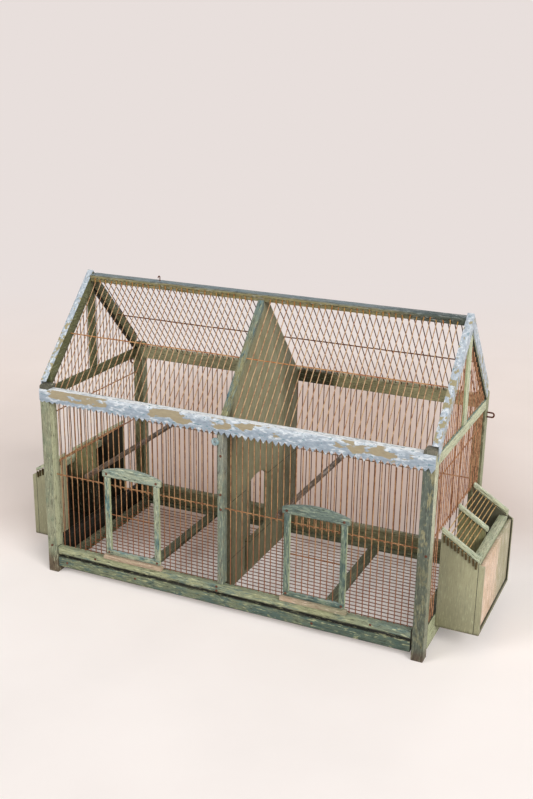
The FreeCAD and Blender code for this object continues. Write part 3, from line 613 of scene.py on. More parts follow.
@dataclass(frozen=True)
class StudioCanvas(Finish):
    """Primed canvas on the studio's floor. The eye sees it pale, matt and nearly plain: bright before the cage,
    duller behind it, with the cage's shadow painted on it there, and lost in the studio's haze far off."""

    haze: str
    heading: Vector
    near: str = "#e9e2de"
    behind: str = "#d8ccc5"
    # The cage's shadow, painted on the canvas behind it: its tint and where it lies.
    shaded: str = "#b9a59a"
    shade_from: float = 110.0
    shade_to: float = 1740.0
    shade_middle: float = 68.0
    shade_half: float = 560.0
    shade_soft: float = 320.0
    turn_from: float = 60.0
    turn_to: float = 420.0
    haze_from: float = 900.0
    haze_to: float = 2600.0
    round_from: float = 1700.0
    round_to: float = 4200.0
    cloud: float = 260.0
    octaves: float = 4.0
    sway: float = 250.0
    dull: float = 0.97
    bright: float = 1.02
    roughness: float = 0.95
    specular: float = 0.1
    lift: float = 0.24

    def lay(self, tree: NodeTree, shader: Node, output: Node) -> None:
        """Lay the canvas, its duller tone behind the cage, the cage's painted shadow and the haze.

        Args:
            tree: The material's node tree.
            shader: Its principled shader.
            output: Its output.
        """
        place = add_node(tree, "TexCoord").outputs["Object"]
        cloud = add_node(tree, "TexNoise", {"Scale": 1 / (self.cloud * MM), "Detail": self.octaves},
                         {"Vector": place})
        sideways = (self.heading.y, -self.heading.x, 0.0)
        depth, across = (
            add_node(tree, "VectorMath", {"operation": "DOT_PRODUCT", 1: way}, {0: place}).outputs["Value"]
            for way in (self.heading, sideways)
        )
        reach = add_node(tree, "VectorMath", {"operation": "LENGTH"}, {0: place}).outputs["Value"]
        swayed = add_node(tree, "Math", {"operation": "MULTIPLY_ADD", 1: self.sway * MM}, {0: cloud, 2: depth})
        off = add_node(tree, "Math", {"operation": "SUBTRACT", 1: self.shade_middle * MM}, {0: across})
        aside = add_node(tree, "Math", {"operation": "ABSOLUTE"}, {0: off})
        turned, hazed, begun, ended, beside, ringed = (
            add_node(tree, "MapRange",
                     {"interpolation_type": "SMOOTHSTEP", "From Min": low * MM, "From Max": high * MM},
                     {"Value": source})
            for source, low, high in (
                (swayed, self.turn_from, self.turn_to),
                (swayed, self.haze_from, self.haze_to),
                (swayed, self.shade_from, self.shade_from + self.shade_soft),
                (swayed, self.shade_to, self.shade_to - 2 * self.shade_soft),
                (aside, self.shade_half, self.shade_half - self.shade_soft),
                (reach, self.round_from, self.round_to),
            )
        )
        stretch = add_node(tree, "Math", {"operation": "MULTIPLY"}, {0: begun, 1: ended})
        shade = add_node(tree, "Math", {"operation": "MULTIPLY"}, {0: stretch, 1: beside})
        colour = lay_coats(tree, self.near, [(turned, self.behind), (shade, self.shaded)])
        colour = toned(tree, colour, cloud, self.dull, self.bright)
        shown = shown_as_background(tree)
        glow = add_node(tree, "Math", {"operation": "MULTIPLY", 1: self.lift}, {0: shown})
        tree.links.new(colour, shader.inputs["Base Color"])
        tree.links.new(colour, shader.inputs["Emission Color"])
        tree.links.new(glow.outputs[0], shader.inputs["Emission Strength"])
        shader.inputs["Roughness"].default_value = self.roughness
        shader.inputs["Specular IOR Level"].default_value = self.specular
        lost = add_node(tree, "Math", {"operation": "MAXIMUM"}, {0: hazed, 1: ringed})
        far = add_node(tree, "Math", {"operation": "MULTIPLY"}, {0: lost, 1: shown})
        mist = add_node(tree, "Emission", {"Color": linear(self.haze), "Strength": 1.0})
        mix = add_node(tree, "MixShader", links={0: far, 1: shader, 2: mist})
        tree.links.new(mix.outputs[0], output.inputs["Surface"])


# Posts: sage over grey green, dirty at the foot and dark at the sawn head. Painted light makes their
# right-hand faces paler.
FOOT_DIRT = Fade("#54463a", Axis.HEIGHT, 24.0, 4.0, 0.85, 14.0)
LEFT_FOOT_DIRT = Fade("#5d4d3d", Axis.HEIGHT, 56.0, 18.0, 0.9, 22.0)
LEFT_POST_HEAD = Fade("#4b4841", Axis.HEIGHT, 338.0, 348.0, 0.9, 6.0)
RIGHT_POST_HEAD = Fade("#746f62", Axis.HEIGHT, 338.0, 350.0, 0.85, 8.0)
POST_LEFT_PAINT = LayeredPaint(
    "oil_paint_post_left", "#8f9077", "#7a826c", hold=0.54, lit_side_coat="#b5b896", pale="#aeb094",
    fades=(LEFT_FOOT_DIRT, LEFT_POST_HEAD))
POST_RIGHT_PAINT = LayeredPaint(
    "oil_paint_post_right", "#5e665d", "#8b876a", hold=0.53, soft=0.02, lit_side_coat="#cccdb1", pale="#a3a88c",
    pale_share=0.35, area=13.0, streak=5.0, stretch=3.0,
    fades=(Fade("#56594a", Axis.HEIGHT, 240.0, 150.0, 0.6, 70.0), FOOT_DIRT, RIGHT_POST_HEAD))
POST_REAR_PAINT = LayeredPaint(
    "oil_paint_posts_rear", "#5a5840", "#6b6a4e", lit_side_coat="#9b9e80", pale_share=0.3)

# Front rails: yellow green rubbed to teal, with dark gaps at the posts and a dark lower edge.
RAIL_GAPS = Seam(Axis.LENGTH, 329.0, 2.4)
RAIL_PAINT = LayeredPaint(
    "oil_paint_rails", "#9b9e7b", "#63756d", pale="#c2c49d", top_coat="#858c72", hold=0.53, area=25.0,
    fleck=3.0, seams=(RAIL_GAPS,),
    fades=(Fade("#5f736d", Axis.LENGTH, 170.0, 300.0, 0.6, 90.0),
           Fade("#1c1a14", Axis.HEIGHT, 40.5, 37.5, 0.9, 2.0)))
FLOOR_RAIL_PAINT = LayeredPaint(
    "oil_paint_floor_rail", "#737a61", "#51625b", pale="#adae84", hold=0.5, area=22.0, fleck=3.0,
    seams=(RAIL_GAPS,),
    fades=(Fade("#46574f", Axis.LENGTH, 40.0, 230.0, 0.7, 90.0),
           Fade("#1c1a14", Axis.HEIGHT, 31.0, 33.0, 0.95, 1.0),
           Fade("#2a2820", Axis.HEIGHT, 16.0, 13.0, 0.8, 3.0)))

# Partition: flat olive with two board joints. Painted shade darkens its front edge and its rear edge, and it is
# darker towards its foot. Its cap and post are streaked with blue.
CAP_PAINT = LayeredPaint(
    "oil_paint_cap", "#83805f", "#577278", pale="#a9aa84", hold=0.56, area=34.0,
    fades=(Fade("#4f7078", Axis.HEIGHT, 415.0, 490.0, 0.6, 110.0),))
CENTRE_PAINT = LayeredPaint(
    "oil_paint_centre_post", "#6d7a6e", "#84856f", pale="#aeb096", grime="#4a3024", hold=0.53,
    fades=(Fade("#93948a", Axis.HEIGHT, 205.0, 300.0, 0.55, 40.0),))
OLIVE_PAINT = LayeredPaint(
    "oil_paint_partition", "#949073", "#8a8769", pale="#a8a486", pale_share=0.2, grime_share=0.2, contrast=0.08,
    crack_share=0.25, bare_from=0.85, seams=(Seam(Axis.HEIGHT, 190.0), Seam(Axis.HEIGHT, 86.0)),
    # The first two fades are painted shade along the front and rear edges; the third darkens the foot.
    fades=(Fade("#3a3726", Axis.DEPTH, -112.0, -134.0, 0.85, 26.0),
           Fade("#5a563d", Axis.DEPTH, 66.0, 100.0, 0.72, 14.0),
           Fade("#423e2c", Axis.HEIGHT, 232.0, 160.0, 0.45, 60.0)))
GUIDE_PAINT = LayeredPaint("oil_paint_guides", "#6b6a4b", "#5c5f47", pale_share=0.2)

# Doors: sage and dark teal, well rubbed, paler on the arched top. Painted light makes their right-hand
# faces paler.
DOOR_LEFT_PAINT = LayeredPaint(
    "oil_paint_door_left", "#959c84", "#5a7572", pale="#c8cbae", grime="#26312e", top_coat="#8ea2a1",
    lit_side_coat="#b4b98f", hold=0.54, soft=0.03, grime_share=0.9,
    fades=(Fade("#a6b09f", Axis.HEIGHT, 196.0, 208.0, 0.45, 8.0),))
DOOR_RIGHT_PAINT = LayeredPaint(
    "oil_paint_door_right", "#54665f", "#778470", pale="#a3ab95", grime="#1f2825", top_coat="#84948f",
    lit_side_coat="#b7bd98", hold=0.53, soft=0.03, fades=(Fade("#79847a", Axis.HEIGHT, 196.0, 208.0, 0.45, 8.0),))

# Timber inside and at the ends: dull olive. Painted light makes the right-hand faces paler, and painted shade,
# with some dirt, turns the faces that look into the cage nearly black.
INNER_PAINT = LayeredPaint(
    "oil_paint_inner_timber", "#a09b76", "#8f8a68", pale_share=0.25, grime_share=0.4, contrast=0.12)
# A painted shadow of the partition: the rail goes dark from the partition to about 84 mm right of it, on all
# faces.
REAR_EAVE_SHADOW_PAINT = LayeredPaint(
    "oil_paint_rear_eave", "#a09b76", "#8f8a68", pale_share=0.25, grime_share=0.4, contrast=0.12,
    fades=(Fade("#2a2819", Axis.LENGTH, 84.0, 62.0, 0.88, 14.0),
           Fade("#a5a17e", Axis.LENGTH, 4.0, -4.0, 0.95, 2.0)))
END_PAINT = LayeredPaint(
    "oil_paint_end_boards", "#8d9274", "#7d866c", lit_side_coat="#b0b491", grime="#1d1912", soil="#0a0805")
GABLE_PAINT = LayeredPaint(
    "oil_paint_gable_right", "#a6ad88", "#929d7d", top_coat="#6b8783", lit_side_coat="#c9ccae", grime="#2a261b",
    grime_share=0.4)
GABLE_LEFT_PAINT = LayeredPaint(
    "oil_paint_gable_left", "#636644", "#545739", grime="#2a261b", grime_share=0.4, lit_side_coat="#666748",
    pale_share=0.25)
FLOOR_PAINT = LayeredPaint("soiled_paint_floor", "#5b5f4c", "#6b6c56", pale_share=0.25, grime="#211e17")

# Feeders: smooth sage on the boxes, pale battens, boards worn to pink bare pine, and insides turned black
# by painted shade with some dirt.
SAGE_PAINT = LayeredPaint(
    "oil_paint_feeders", "#9f9c7e", "#959378", pale="#bcc09c", grime="#2a281d", hold=0.52, pale_share=0.3,
    grime_share=0.15, contrast=0.08, crack_share=0.15, edge_wear=0.02, bare_from=0.9, area=30.0, stretch=12.0,
    seams=(Seam(Axis.LENGTH, 412.0, 0.9),),
    # The second fade, a dark band along the boxes' foot, is dirt and painted shade.
    fades=(Fade("#858267", Axis.HEIGHT, 110.0, 50.0, 0.6, 60.0),
           Fade("#4a4334", Axis.HEIGHT, 40.0, 33.0, 0.85, 6.0)))
DIVIDER_PAINT = LayeredPaint(
    "oil_paint_feeder_dividers", "#86835f", "#77744f", pale_share=0.2, grime_share=0.3,
    # Painted shade: the dividers go nearly black below the top.
    fades=(Fade("#0d0b07", Axis.HEIGHT, 135.0, 105.0, 0.95, 20.0),))
BATTEN_PAINT = LayeredPaint(
    "oil_paint_battens", "#bdc0a0", "#a9b398", pale="#dde2c6", grime="#33413f", hold=0.55)
WORN_BOARD = LayeredPaint(
    "worn_pine_feeder_boards", "#e2c8b1", "#d4b89d", pale="#f1e6dc", grime="#8d7b64", pale_share=0.5,
    grime_share=0.3, contrast=0.1, area=30.0, streak=4.0, stretch=10.0, fleck=4.0, bare_from=0.9,
    fades=(Fade("#a3a284", Axis.DEPTH, -18.0, 44.0, 0.85, 90.0),))

# Strips: chalky blue tin that has flaked to ochre on the eave and the rafters, and slate paint on the ridge.
EAVE_PAINT = FlakedTin(
    "flaked_paint_eave_strip", "#98a5b1", "#eef1f2", "#9b8f74", hold=0.615, peel=0.18, band_from=327.0,
    band_to=333.0, fades=(Fade("#d5dde3", Axis.HEIGHT, 336.0, 346.0, 0.65, 8.0),),
    stretches=((-335.0, -205.0), (-140.0, -45.0), (-30.0, 20.0), (28.0, 60.0), (180.0, 320.0)))
RAKE_PAINT = FlakedTin(
    "flaked_paint_rake_strips", "#aeb8c1", "#c2cbd2", "#968d6c", axis=Axis.HEIGHT, stretches=((335.0, 470.0),),
    hold=0.63, peel=0.1, island=7.0, stretch=1.6, fold_from=0.9, fold_to=1.0)
RIDGE_PAINT = LayeredPaint(
    "oil_paint_ridge", "#5f6b6d", "#7a827b", pale="#9aa19e", grime="#232a2a", hold=0.52, top_coat="#75848b",
    fades=(Fade("#8d8357", Axis.HEIGHT, 517.0, 513.5, 0.9, 5.0),
           Fade("#434e4b", Axis.LENGTH, 170.0, 300.0, 0.85, 60.0)))

# Small pieces: bare pine sills, grey rubbed perches and a chipped blue disc.
SILL_WOOD = LayeredPaint(
    "bare_pine_sills", "#bda38b", "#ab9880", pale="#d6c4b0", grime="#6b5240", grime_share=0.35, contrast=0.12,
    fades=(Fade("#898a6f", Axis.LENGTH, 105.0, 200.0, 0.8, 20.0),))
PERCH_WOOD = LayeredPaint("rubbed_stick", "#77675a", "#5b4d40", pale="#94857a", contrast=0.2)
DISC_PAINT = LayeredPaint("chipped_disc_paint", "#a5b8be", "#7d979a", area=8.0)

# Wire and iron: tan rust where the light falls, nearly black on the nails. The rear wires, the left end's wires
# and the rear half of the cross wires are darker by painted shade.
FRONT_RUST = RustyIron("rusted_wire_front", "#ab845e", "#845a3e", "#513424", low_skin="#7f5139")
# Painted shade: the darker low skin runs along the cross wires' rear half, not near the floor.
CROSS_RUST = RustyIron(
    "rusted_wire_cross", "#b98d5f", "#995f3c", "#573826", low_skin="#693f27", low_axis=Axis.DEPTH, low_from=0.0,
    low_to=40.0)
ROOF_RUST = RustyIron("rusted_wire_roof", "#c1a17d", "#9a6e50", "#5f4230")
# Painted shade: darker rust for the rear wall and the roof's rear slope.
REAR_SHADED_RUST = RustyIron("rusted_wire_rear", "#6d4530", "#4f2d1f", "#2e1b13")
END_RUST = RustyIron("rusted_wire_ends", "#b98b68", "#8c5c44", "#4f3325")
# Painted shade: darker rust for the left end's wires.
LEFT_END_SHADED_RUST = RustyIron("rusted_wire_left_end", "#7d5d49", "#5d4132", "#36241a")
FLOOR_RUST = RustyIron("rusted_wire_floor", "#8c5940", "#704530", "#432a1f")
FEEDER_RUST = RustyIron("rusted_wire_feeders", "#cfae77", "#a67f54", "#5a3f2b")
DARK_IRON = RustyIron("rusted_iron_fittings", "#6d4432", "#4d2e23", "#2c1b15", spot=3.0)
NAIL_RUST = RustyIron("rusted_nails", "#6e4a3a", "#54352a", "#33211a", spot=3.0)
HOOK_RUST = RustyIron("rusted_wire_hooks", "#a78650", "#96592f", "#5f4129", spot=4.0)
END_TIP_RUST = RustyIron("rusted_wire_tips", "#5d5236", "#4a3a26", "#2e2318", spot=4.0)


def activate(piece: Object) -> None:
    """Select one piece alone and make it the active one.

    Args:
        piece: The piece.
    """
    bpy.ops.object.select_all(action="DESELECT")
    piece.select_set(True)
    bpy.context.view_layer.objects.active = piece


@contextmanager
def editing(piece: Object) -> Iterator[bmesh.types.BMesh]:
    """Open a piece in edit mode with all of it selected.

    Args:
        piece: The mesh object to edit.

    Yields:
        Its edit mesh.
    """
    activate(piece)
    bpy.ops.object.mode_set(mode="EDIT")
    bpy.ops.mesh.select_mode(type="EDGE")
    bpy.ops.mesh.select_all(action="SELECT")
    yield bmesh.from_edit_mesh(piece.data)
    bpy.ops.object.mode_set(mode="OBJECT")


def added(name: str, mesh: Mesh) -> Object:
    """Add a mesh to the scene as a piece.

    Args:
        name: The piece's name.
        mesh: Its own mesh.

    Returns:
        The piece.
    """
    piece = bpy.data.objects.new(name, mesh)
    bpy.context.scene.collection.objects.link(piece)
    return piece


def joined(pieces: list[Object], name: str) -> Object:
    """Join pieces to one.

    Args:
        pieces: The pieces, at least one.
        name: The new name.

    Returns:
        The one piece.
    """
    activate(pieces[0])
    if len(pieces) > 1:
        for piece in pieces[1:]:
            piece.select_set(True)
        bpy.ops.object.join()
    pieces[0].name = name
    return pieces[0]


def smooth(piece: Object, angle: float) -> None:
    """Shade a piece smooth.

    Args:
        piece: The piece.
        angle: The angle under which two faces shade as one surface.
    """
    activate(piece)
    bpy.ops.object.shade_smooth_by_angle(angle=math.radians(angle))


def displace(piece: Object, scale: float, strength: float, middle: float, way: str = "NORMAL") -> None:
    """Push a piece's vertices by a cloudy pattern.

    Args:
        piece: The piece.
        scale: The pattern's size in metres.
        strength: How far it pushes, in metres.
        middle: The pattern's value that pushes nothing.
        way: The direction.
    """
    texture = bpy.data.textures.new(piece.name, "CLOUDS")
    texture.noise_scale = scale
    modifier = piece.modifiers.new("displace", "DISPLACE")
    modifier.texture = texture
    modifier.texture_coords = "LOCAL"
    modifier.direction = way
    modifier.mid_level = middle
    modifier.strength = strength
    activate(piece)
    bpy.ops.object.modifier_apply(modifier=modifier.name)


def vertices_of(mesh: Mesh) -> np.ndarray:
    """Read a mesh's vertices.

    Args:
        mesh: The mesh.

    Returns:
        Their places as rows.
    """
    flat = np.empty(len(mesh.vertices) * 3)
    mesh.vertices.foreach_get("co", flat)
    return flat.reshape(-1, 3)


def islands(mesh: Mesh) -> list[np.ndarray]:
    """Sort a mesh's vertices into its separate solids.

    Args:
        mesh: The mesh, also one of loose triangles.

    Returns:
        The vertex numbers of each solid.
    """
    keys = np.round(vertices_of(mesh) / (WELD * MM)).astype(np.int64)
    spots = np.unique(keys, axis=0, return_inverse=True)[1].ravel()
    root = list(range(int(spots.max()) + 1))

    def top(spot: int) -> int:
        """Follow a spot to the head of its solid.

        Args:
            spot: The spot.

        Returns:
            The head.
        """
        while root[spot] != spot:
            root[spot] = root[root[spot]]
            spot = root[spot]
        return spot

    for polygon in mesh.polygons:
        heads = [top(int(spots[corner])) for corner in polygon.vertices]
        for head in heads[1:]:
            root[top(head)] = top(heads[0])
    heads = np.array([top(int(spot)) for spot in spots])
    return [np.flatnonzero(heads == head) for head in dict.fromkeys(heads.tolist())]


def axes_of(points: np.ndarray, along: Axis | None = None) -> np.ndarray:
    """Find the directions of a solid, longest first.

    Args:
        points: Its corners.
        along: The grain's direction where it isn't the longest one.

    Returns:
        Three unit columns.
    """
    if along:
        first = Vector(along.value)
        second = Vector(Axis.HEIGHT.value if along is not Axis.HEIGHT else Axis.LENGTH.value)
        return np.array([first, second, first.cross(second)]).T
    spread = points - points.mean(axis=0)
    values, columns = np.linalg.eigh(spread.T @ spread)
    return columns[:, np.argsort(values)[::-1]]


def weld() -> None:
    """Merge the corners of the loose triangles that are being edited."""
    bpy.ops.mesh.customdata_custom_splitnormals_clear()
    bpy.ops.mesh.remove_doubles(threshold=WELD * MM)


def copy_of(node: str, name: str) -> Object:
    """Copy a CAD node's mesh to a new piece with its corners merged and its flat faces whole.

    Args:
        node: The CAD node.
        name: The piece's name.

    Returns:
        The piece.
    """
    piece = added(name, frame["nodes"][node].data.copy())
    piece.data.materials.clear()
    with editing(piece):
        weld()
        bpy.ops.mesh.dissolve_limited(angle_limit=math.radians(FLAT))
    return piece


def stamp_grain(piece: Object, along: Axis | None = None) -> None:
    """Store each vertex's place along, across and into its own board, so that paint follows the grain.

    Args:
        piece: The piece.
        along: The grain's direction where it isn't a board's longest one.
    """
    points = vertices_of(piece.data)
    places = np.zeros_like(points)
    draw = random.Random(piece.name)
    for members in islands(piece.data):
        board = points[members]
        start = np.array([draw.uniform(0, GRAIN_APART) for _ in range(3)])
        places[members] = (board - board.mean(axis=0)) @ axes_of(board, along) + start
    attribute = piece.data.attributes.new(GRAIN, "FLOAT_VECTOR", "POINT")
    attribute.data.foreach_set("vector", places.astype(np.float32).ravel())


def stamp_shade_and_dirt(piece: Object, shares: tuple[float, float], middle: tuple[float, float, float]) -> None:
    """Mark the faces that look inwards for painted shade, with some dirt.

    Args:
        piece: The piece.
        shares: How much of the tint of painted shade and dirt they take on the left and on the right.
        middle: The middle of the space, in millimetres, whose X follows the side of each face.
    """
    values = []
    for polygon in piece.data.polygons:
        inside = Vector((math.copysign(middle[0], polygon.center.x), middle[1], middle[2])) * MM
        share = shares[0] if polygon.center.x < 0 else shares[1]
        values.append(share if (inside - polygon.center).dot(polygon.normal) > 0 else 0.0)
    piece.data.attributes.new(SHADE_AND_DIRT, "FLOAT", "FACE").data.foreach_set("value", values)


def settle(piece: Object, node: str, finish: Finish, instead: bool = True) -> Object:
    """Dress a piece and put it on the body of a CAD node.

    Args:
        piece: The finished mesh.
        node: The CAD node that it stands for, or is fixed to.
        finish: What it is made of.
        instead: Whether it takes the node's place.

    Returns:
        The piece.
    """
    piece.data.materials.clear()
    piece.data.materials.append(finish.material())
    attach(piece, BODY_OF[node])
    if instead:
        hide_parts(node)
    log.info("%s: %d faces, %s", piece.name, len(piece.data.polygons), finish.name)
    return piece


@dataclass
class Timber:
    """Sawn and painted wood: edges rubbed round and faces a little uneven."""

    bevel: float = 1.1
    bevel_segments: int = 2
    sharp: float = 30.0
    warp: float = 0.5
    warp_length: float = 55.0
    cut_every: float = 22.0
    room: tuple[float, float, float] = (0.0, 2.0, 150.0)
    feeder_room: tuple[float, float, float] = (385.0, 2.0, 95.0)
    under_roof: tuple[float, float, float] = (345.0, 2.0, -1000.0)

    def weather(self, node: str, finish: Finish, along: Axis | None = None,
                soil: tuple[float, float] = (0.0, 0.0),
                shape: Callable[[Object], None] | None = None) -> Object:
        """Make the worn wood or tin of a CAD node.

        Args:
            node: The CAD node.
            finish: Its paint.
            along: The grain's direction where it isn't a board's longest one.
            soil: How dark painted shade and some dirt make its inward faces, on the left and on the right.
            shape: What is done to its outline first.

        Returns:
            The piece.
        """
        piece = copy_of(node, node + "_wood")
        if shape:
            shape(piece)
        with editing(piece):
            bpy.ops.mesh.select_all(action="DESELECT")
            bpy.ops.mesh.edges_select_sharp(sharpness=math.radians(self.sharp))
            bpy.ops.mesh.bevel(offset=self.bevel * MM, segments=self.bevel_segments, affect="EDGES")
        self.cut_across(piece, along)
        # A middle of 1 only sinks the faces, so that the piece stays inside its CAD node.
        displace(piece, self.warp_length * MM, self.warp * MM, middle=1.0)
        smooth(piece, WOOD_SMOOTH)
        stamp_grain(piece, along)
        # Inward faces are darkened by painted shade, with some dirt.
        if any(soil):
            rooms = {"feeder": self.feeder_room, "rafters": self.under_roof}
            stamp_shade_and_dirt(piece, soil, rooms.get(node.split("_")[0], self.room))
        return settle(piece, node, finish)

    def cut_across(self, piece: Object, along: Axis | None) -> None:
        """Cut a piece's faces at even steps across the grain, so that they can warp.

        Args:
            piece: The piece.
            along: The grain's direction where it isn't the longest one.
        """
        points = vertices_of(piece.data)
        heading = axes_of(points, along)[:, 0]
        reach = points @ heading
        low, high = float(reach.min()), float(reach.max())
        steps = max(2, round((high - low) / (self.cut_every * MM)))
        middle = points.mean(axis=0)
        middle = middle - heading * float(middle @ heading)
        with editing(piece):
            for step in range(1, steps):
                bpy.ops.mesh.select_all(action="SELECT")
                level = low + (high - low) * step / steps
                bpy.ops.mesh.bisect(plane_co=middle + heading * level, plane_no=heading)


@dataclass
class WireStock:
    """Hand-straightened iron wire: one long bend in each length, never quite true."""

    sides: int = 8
    cuts: int = 11
    models: int = 5
    model_length: float = 1000.0
    model_gap: float = 7300.0
    radius: float = 1.0
    sway: float = 1.0
    bend: float = 280.0
    cross_bend: float = 232.4
    tip_sway: float = 0.3
    bent_smooth: float = 40.0
    rod_corners: int = 12
    rod_grid: float = 0.001

    def __post_init__(self) -> None:
        """Draw the model lengths and the stream of small errors."""
        self.draw = random.Random("wire")
        self.meshes = [self.model(number) for number in range(self.models)]

    def model(self, number: int) -> Mesh:
        """Model a length of wire along Z, bent by its own part of the cloudy pattern.

        Args:
            number: Which of the models.

        Returns:
            Its mesh.
        """
        half = self.model_length / 2 * MM
        shift = self.model_gap * MM * number
        bpy.ops.object.select_all(action="DESELECT")
        bpy.ops.mesh.primitive_cylinder_add(vertices=self.sides, radius=self.radius * MM, depth=2 * half,
                                            location=(0, 0, half))
        piece = bpy.context.object
        bpy.ops.object.transform_apply(location=True)
        with editing(piece) as mesh:
            for edge in mesh.edges:
                edge.select_set(abs(edge.verts[0].co.z - edge.verts[1].co.z) > half)
            bmesh.update_edit_mesh(piece.data)
            bpy.ops.mesh.subdivide(number_cuts=self.cuts)
            bpy.ops.mesh.select_all(action="SELECT")
            bpy.ops.transform.translate(value=(0, 0, shift))
        for way, scale in (("X", self.bend), ("Y", self.cross_bend)):
            displace(piece, scale * MM, 2 * self.sway * MM, 0.5, way)
        with editing(piece):
            bpy.ops.transform.translate(value=(0, 0, -shift))
        smooth(piece, WIRE_SMOOTH)
        mesh = piece.data
        bpy.data.objects.remove(piece)
        return mesh

    def length(self, start: Vector, end: Vector, dia: float, sway: float) -> Object:
        """Cut a length of wire between two points.

        Args:
            start: Its foot.
            end: Its head.
            dia: Its diameter in metres.
            sway: How far it strays, in millimetres.

        Returns:
            The wire.
        """
        mesh = self.draw.choice(self.meshes).copy()
        points = vertices_of(mesh)
        whole = self.model_length * MM
        ring = np.floor(points[:, 2] / whole * (self.cuts + 1) + 0.5)
        for number in np.unique(ring):
            members = ring == number
            centre = points[members, :2].mean(axis=0)
            points[members, :2] = ((points[members, :2] - centre) * (dia / (2 * self.radius * MM))
                                   + centre * (sway / self.sway))
        mesh.vertices.foreach_set("co", points.astype(np.float32).ravel())
        run = end - start
        turn = run.to_track_quat("Z", "Y").to_matrix().to_4x4()
        twist = Matrix.Rotation(self.draw.uniform(0, math.tau), 4, "Z")
        drawn = Matrix.Diagonal((1, 1, run.length / whole, 1))
        mesh.transform(Matrix.Translation(start) @ turn @ twist @ drawn)
        return added("wire", mesh)

    def rods(self, node: str) -> tuple[list[tuple[Vector, Vector, float]], list[np.ndarray]]:
        """Read the straight wires of a CAD node.

        Args:
            node: The CAD node, whose wires are six-sided rods.

        Returns:
            The foot, head and diameter of each straight wire, and the vertices of each bent solid.
        """
        source = frame["nodes"][node].data
        points = vertices_of(source)
        straight, bent = [], []
        for members in islands(source):
            steps = np.round(points[members] / (self.rod_grid * MM)).astype(np.int64)
            corners = np.unique(steps, axis=0) * self.rod_grid * MM
            if len(corners) != self.rod_corners:
                bent.append(members)
                continue
            heading = axes_of(corners)[:, 0]
            heading = heading * (1 if heading[np.abs(heading).argmax()] > 0 else -1)
            reach = corners @ heading
            halves = [corners[reach < reach.mean()], corners[reach > reach.mean()]]
            foot, head = (Vector(half.mean(axis=0)) for half in halves)
            dia = 2 * max(float(np.linalg.norm(corner - halves[0].mean(axis=0))) for corner in halves[0])
            straight.append((foot, head, dia))
        return straight, bent

    def string(self, node: str, finish: RustyIron, sway: float) -> Object:
        """Make the wires of a CAD node.

        Args:
            node: The CAD node.
            finish: Their rust.
            sway: How far a wire strays, in millimetres.

        Returns:
            All of the node's wires as one piece.
        """
        straight, bent = self.rods(node)
        lengths = [self.length(foot, head, dia, sway) for foot, head, dia in straight]
        if bent:
            lengths.append(self.rest_of(node, np.concatenate(bent)))
        return settle(joined(lengths, node + "_rust"), node, finish)

    def rest_of(self, node: str, members: np.ndarray) -> Object:
        """Copy the bent solids of a CAD node, without its straight wires.

        Args:
            node: The CAD node.
            members: The vertices that stay.

        Returns:
            The copy.
        """
        piece = added("bent", frame["nodes"][node].data.copy())
        piece.data.materials.clear()
        kept = set(members.tolist())
        with editing(piece) as mesh:
            bpy.ops.mesh.select_mode(type="VERT")
            for vertex in mesh.verts:
                vertex.select_set(vertex.index not in kept)
            bmesh.update_edit_mesh(piece.data)
            bpy.ops.mesh.delete(type="VERT")
            bpy.ops.mesh.select_all(action="SELECT")
            weld()
        smooth(piece, self.bent_smooth)
        return piece

    def tips(self, runs: list[tuple[Vector, Vector]], dia: float, name: str, node: str,
             finish: RustyIron) -> Object:
        """Bend short wire ends, from their feet to their heads, over what holds them, as one new piece."""
        ends = [self.length(foot, head, dia * MM, self.tip_sway) for foot, head in runs]
        return settle(joined(ends, name), node, finish, instead=False)


@dataclass
class Frame:
    """Posts, rails, boards and gables."""

    timber: Timber
    # How dark painted shade, with some dirt, makes the inward faces, on the left and on the right.
    end_shade_and_dirt: tuple[float, float] = (0.97, 0.8)
    rear_soil: tuple[float, float] = (0.35, 0.35)
    beam_soil: tuple[float, float] = (0.2, 0.2)
    rafter_soil: tuple[float, float] = (0.9, 0.9)

    def build(self) -> None:
        """Make the frame's timber."""
        self.timber.weather("post_front_left", POST_LEFT_PAINT, Axis.HEIGHT)
        self.timber.weather("post_front_right", POST_RIGHT_PAINT, Axis.HEIGHT)
        for side, gable in (("left", GABLE_LEFT_PAINT), ("right", GABLE_PAINT)):
            self.timber.weather("post_rear_" + side, POST_REAR_PAINT, Axis.HEIGHT)
            self.timber.weather("end_board_" + side, END_PAINT, soil=self.end_shade_and_dirt)
            self.timber.weather("tie_beam_" + side, gable, soil=self.beam_soil)
            self.timber.weather("king_post_" + side, gable, soil=self.beam_soil)
            self.timber.weather("rafters_" + side, gable, soil=self.rafter_soil)
        self.timber.weather("front_rail", RAIL_PAINT)
        self.timber.weather("rear_board", INNER_PAINT, soil=self.rear_soil)
        self.timber.weather("front_eave_rail", INNER_PAINT)
        self.timber.weather("rear_eave_rail", REAR_EAVE_SHADOW_PAINT)
        self.timber.weather("ridge_rail", RIDGE_PAINT)


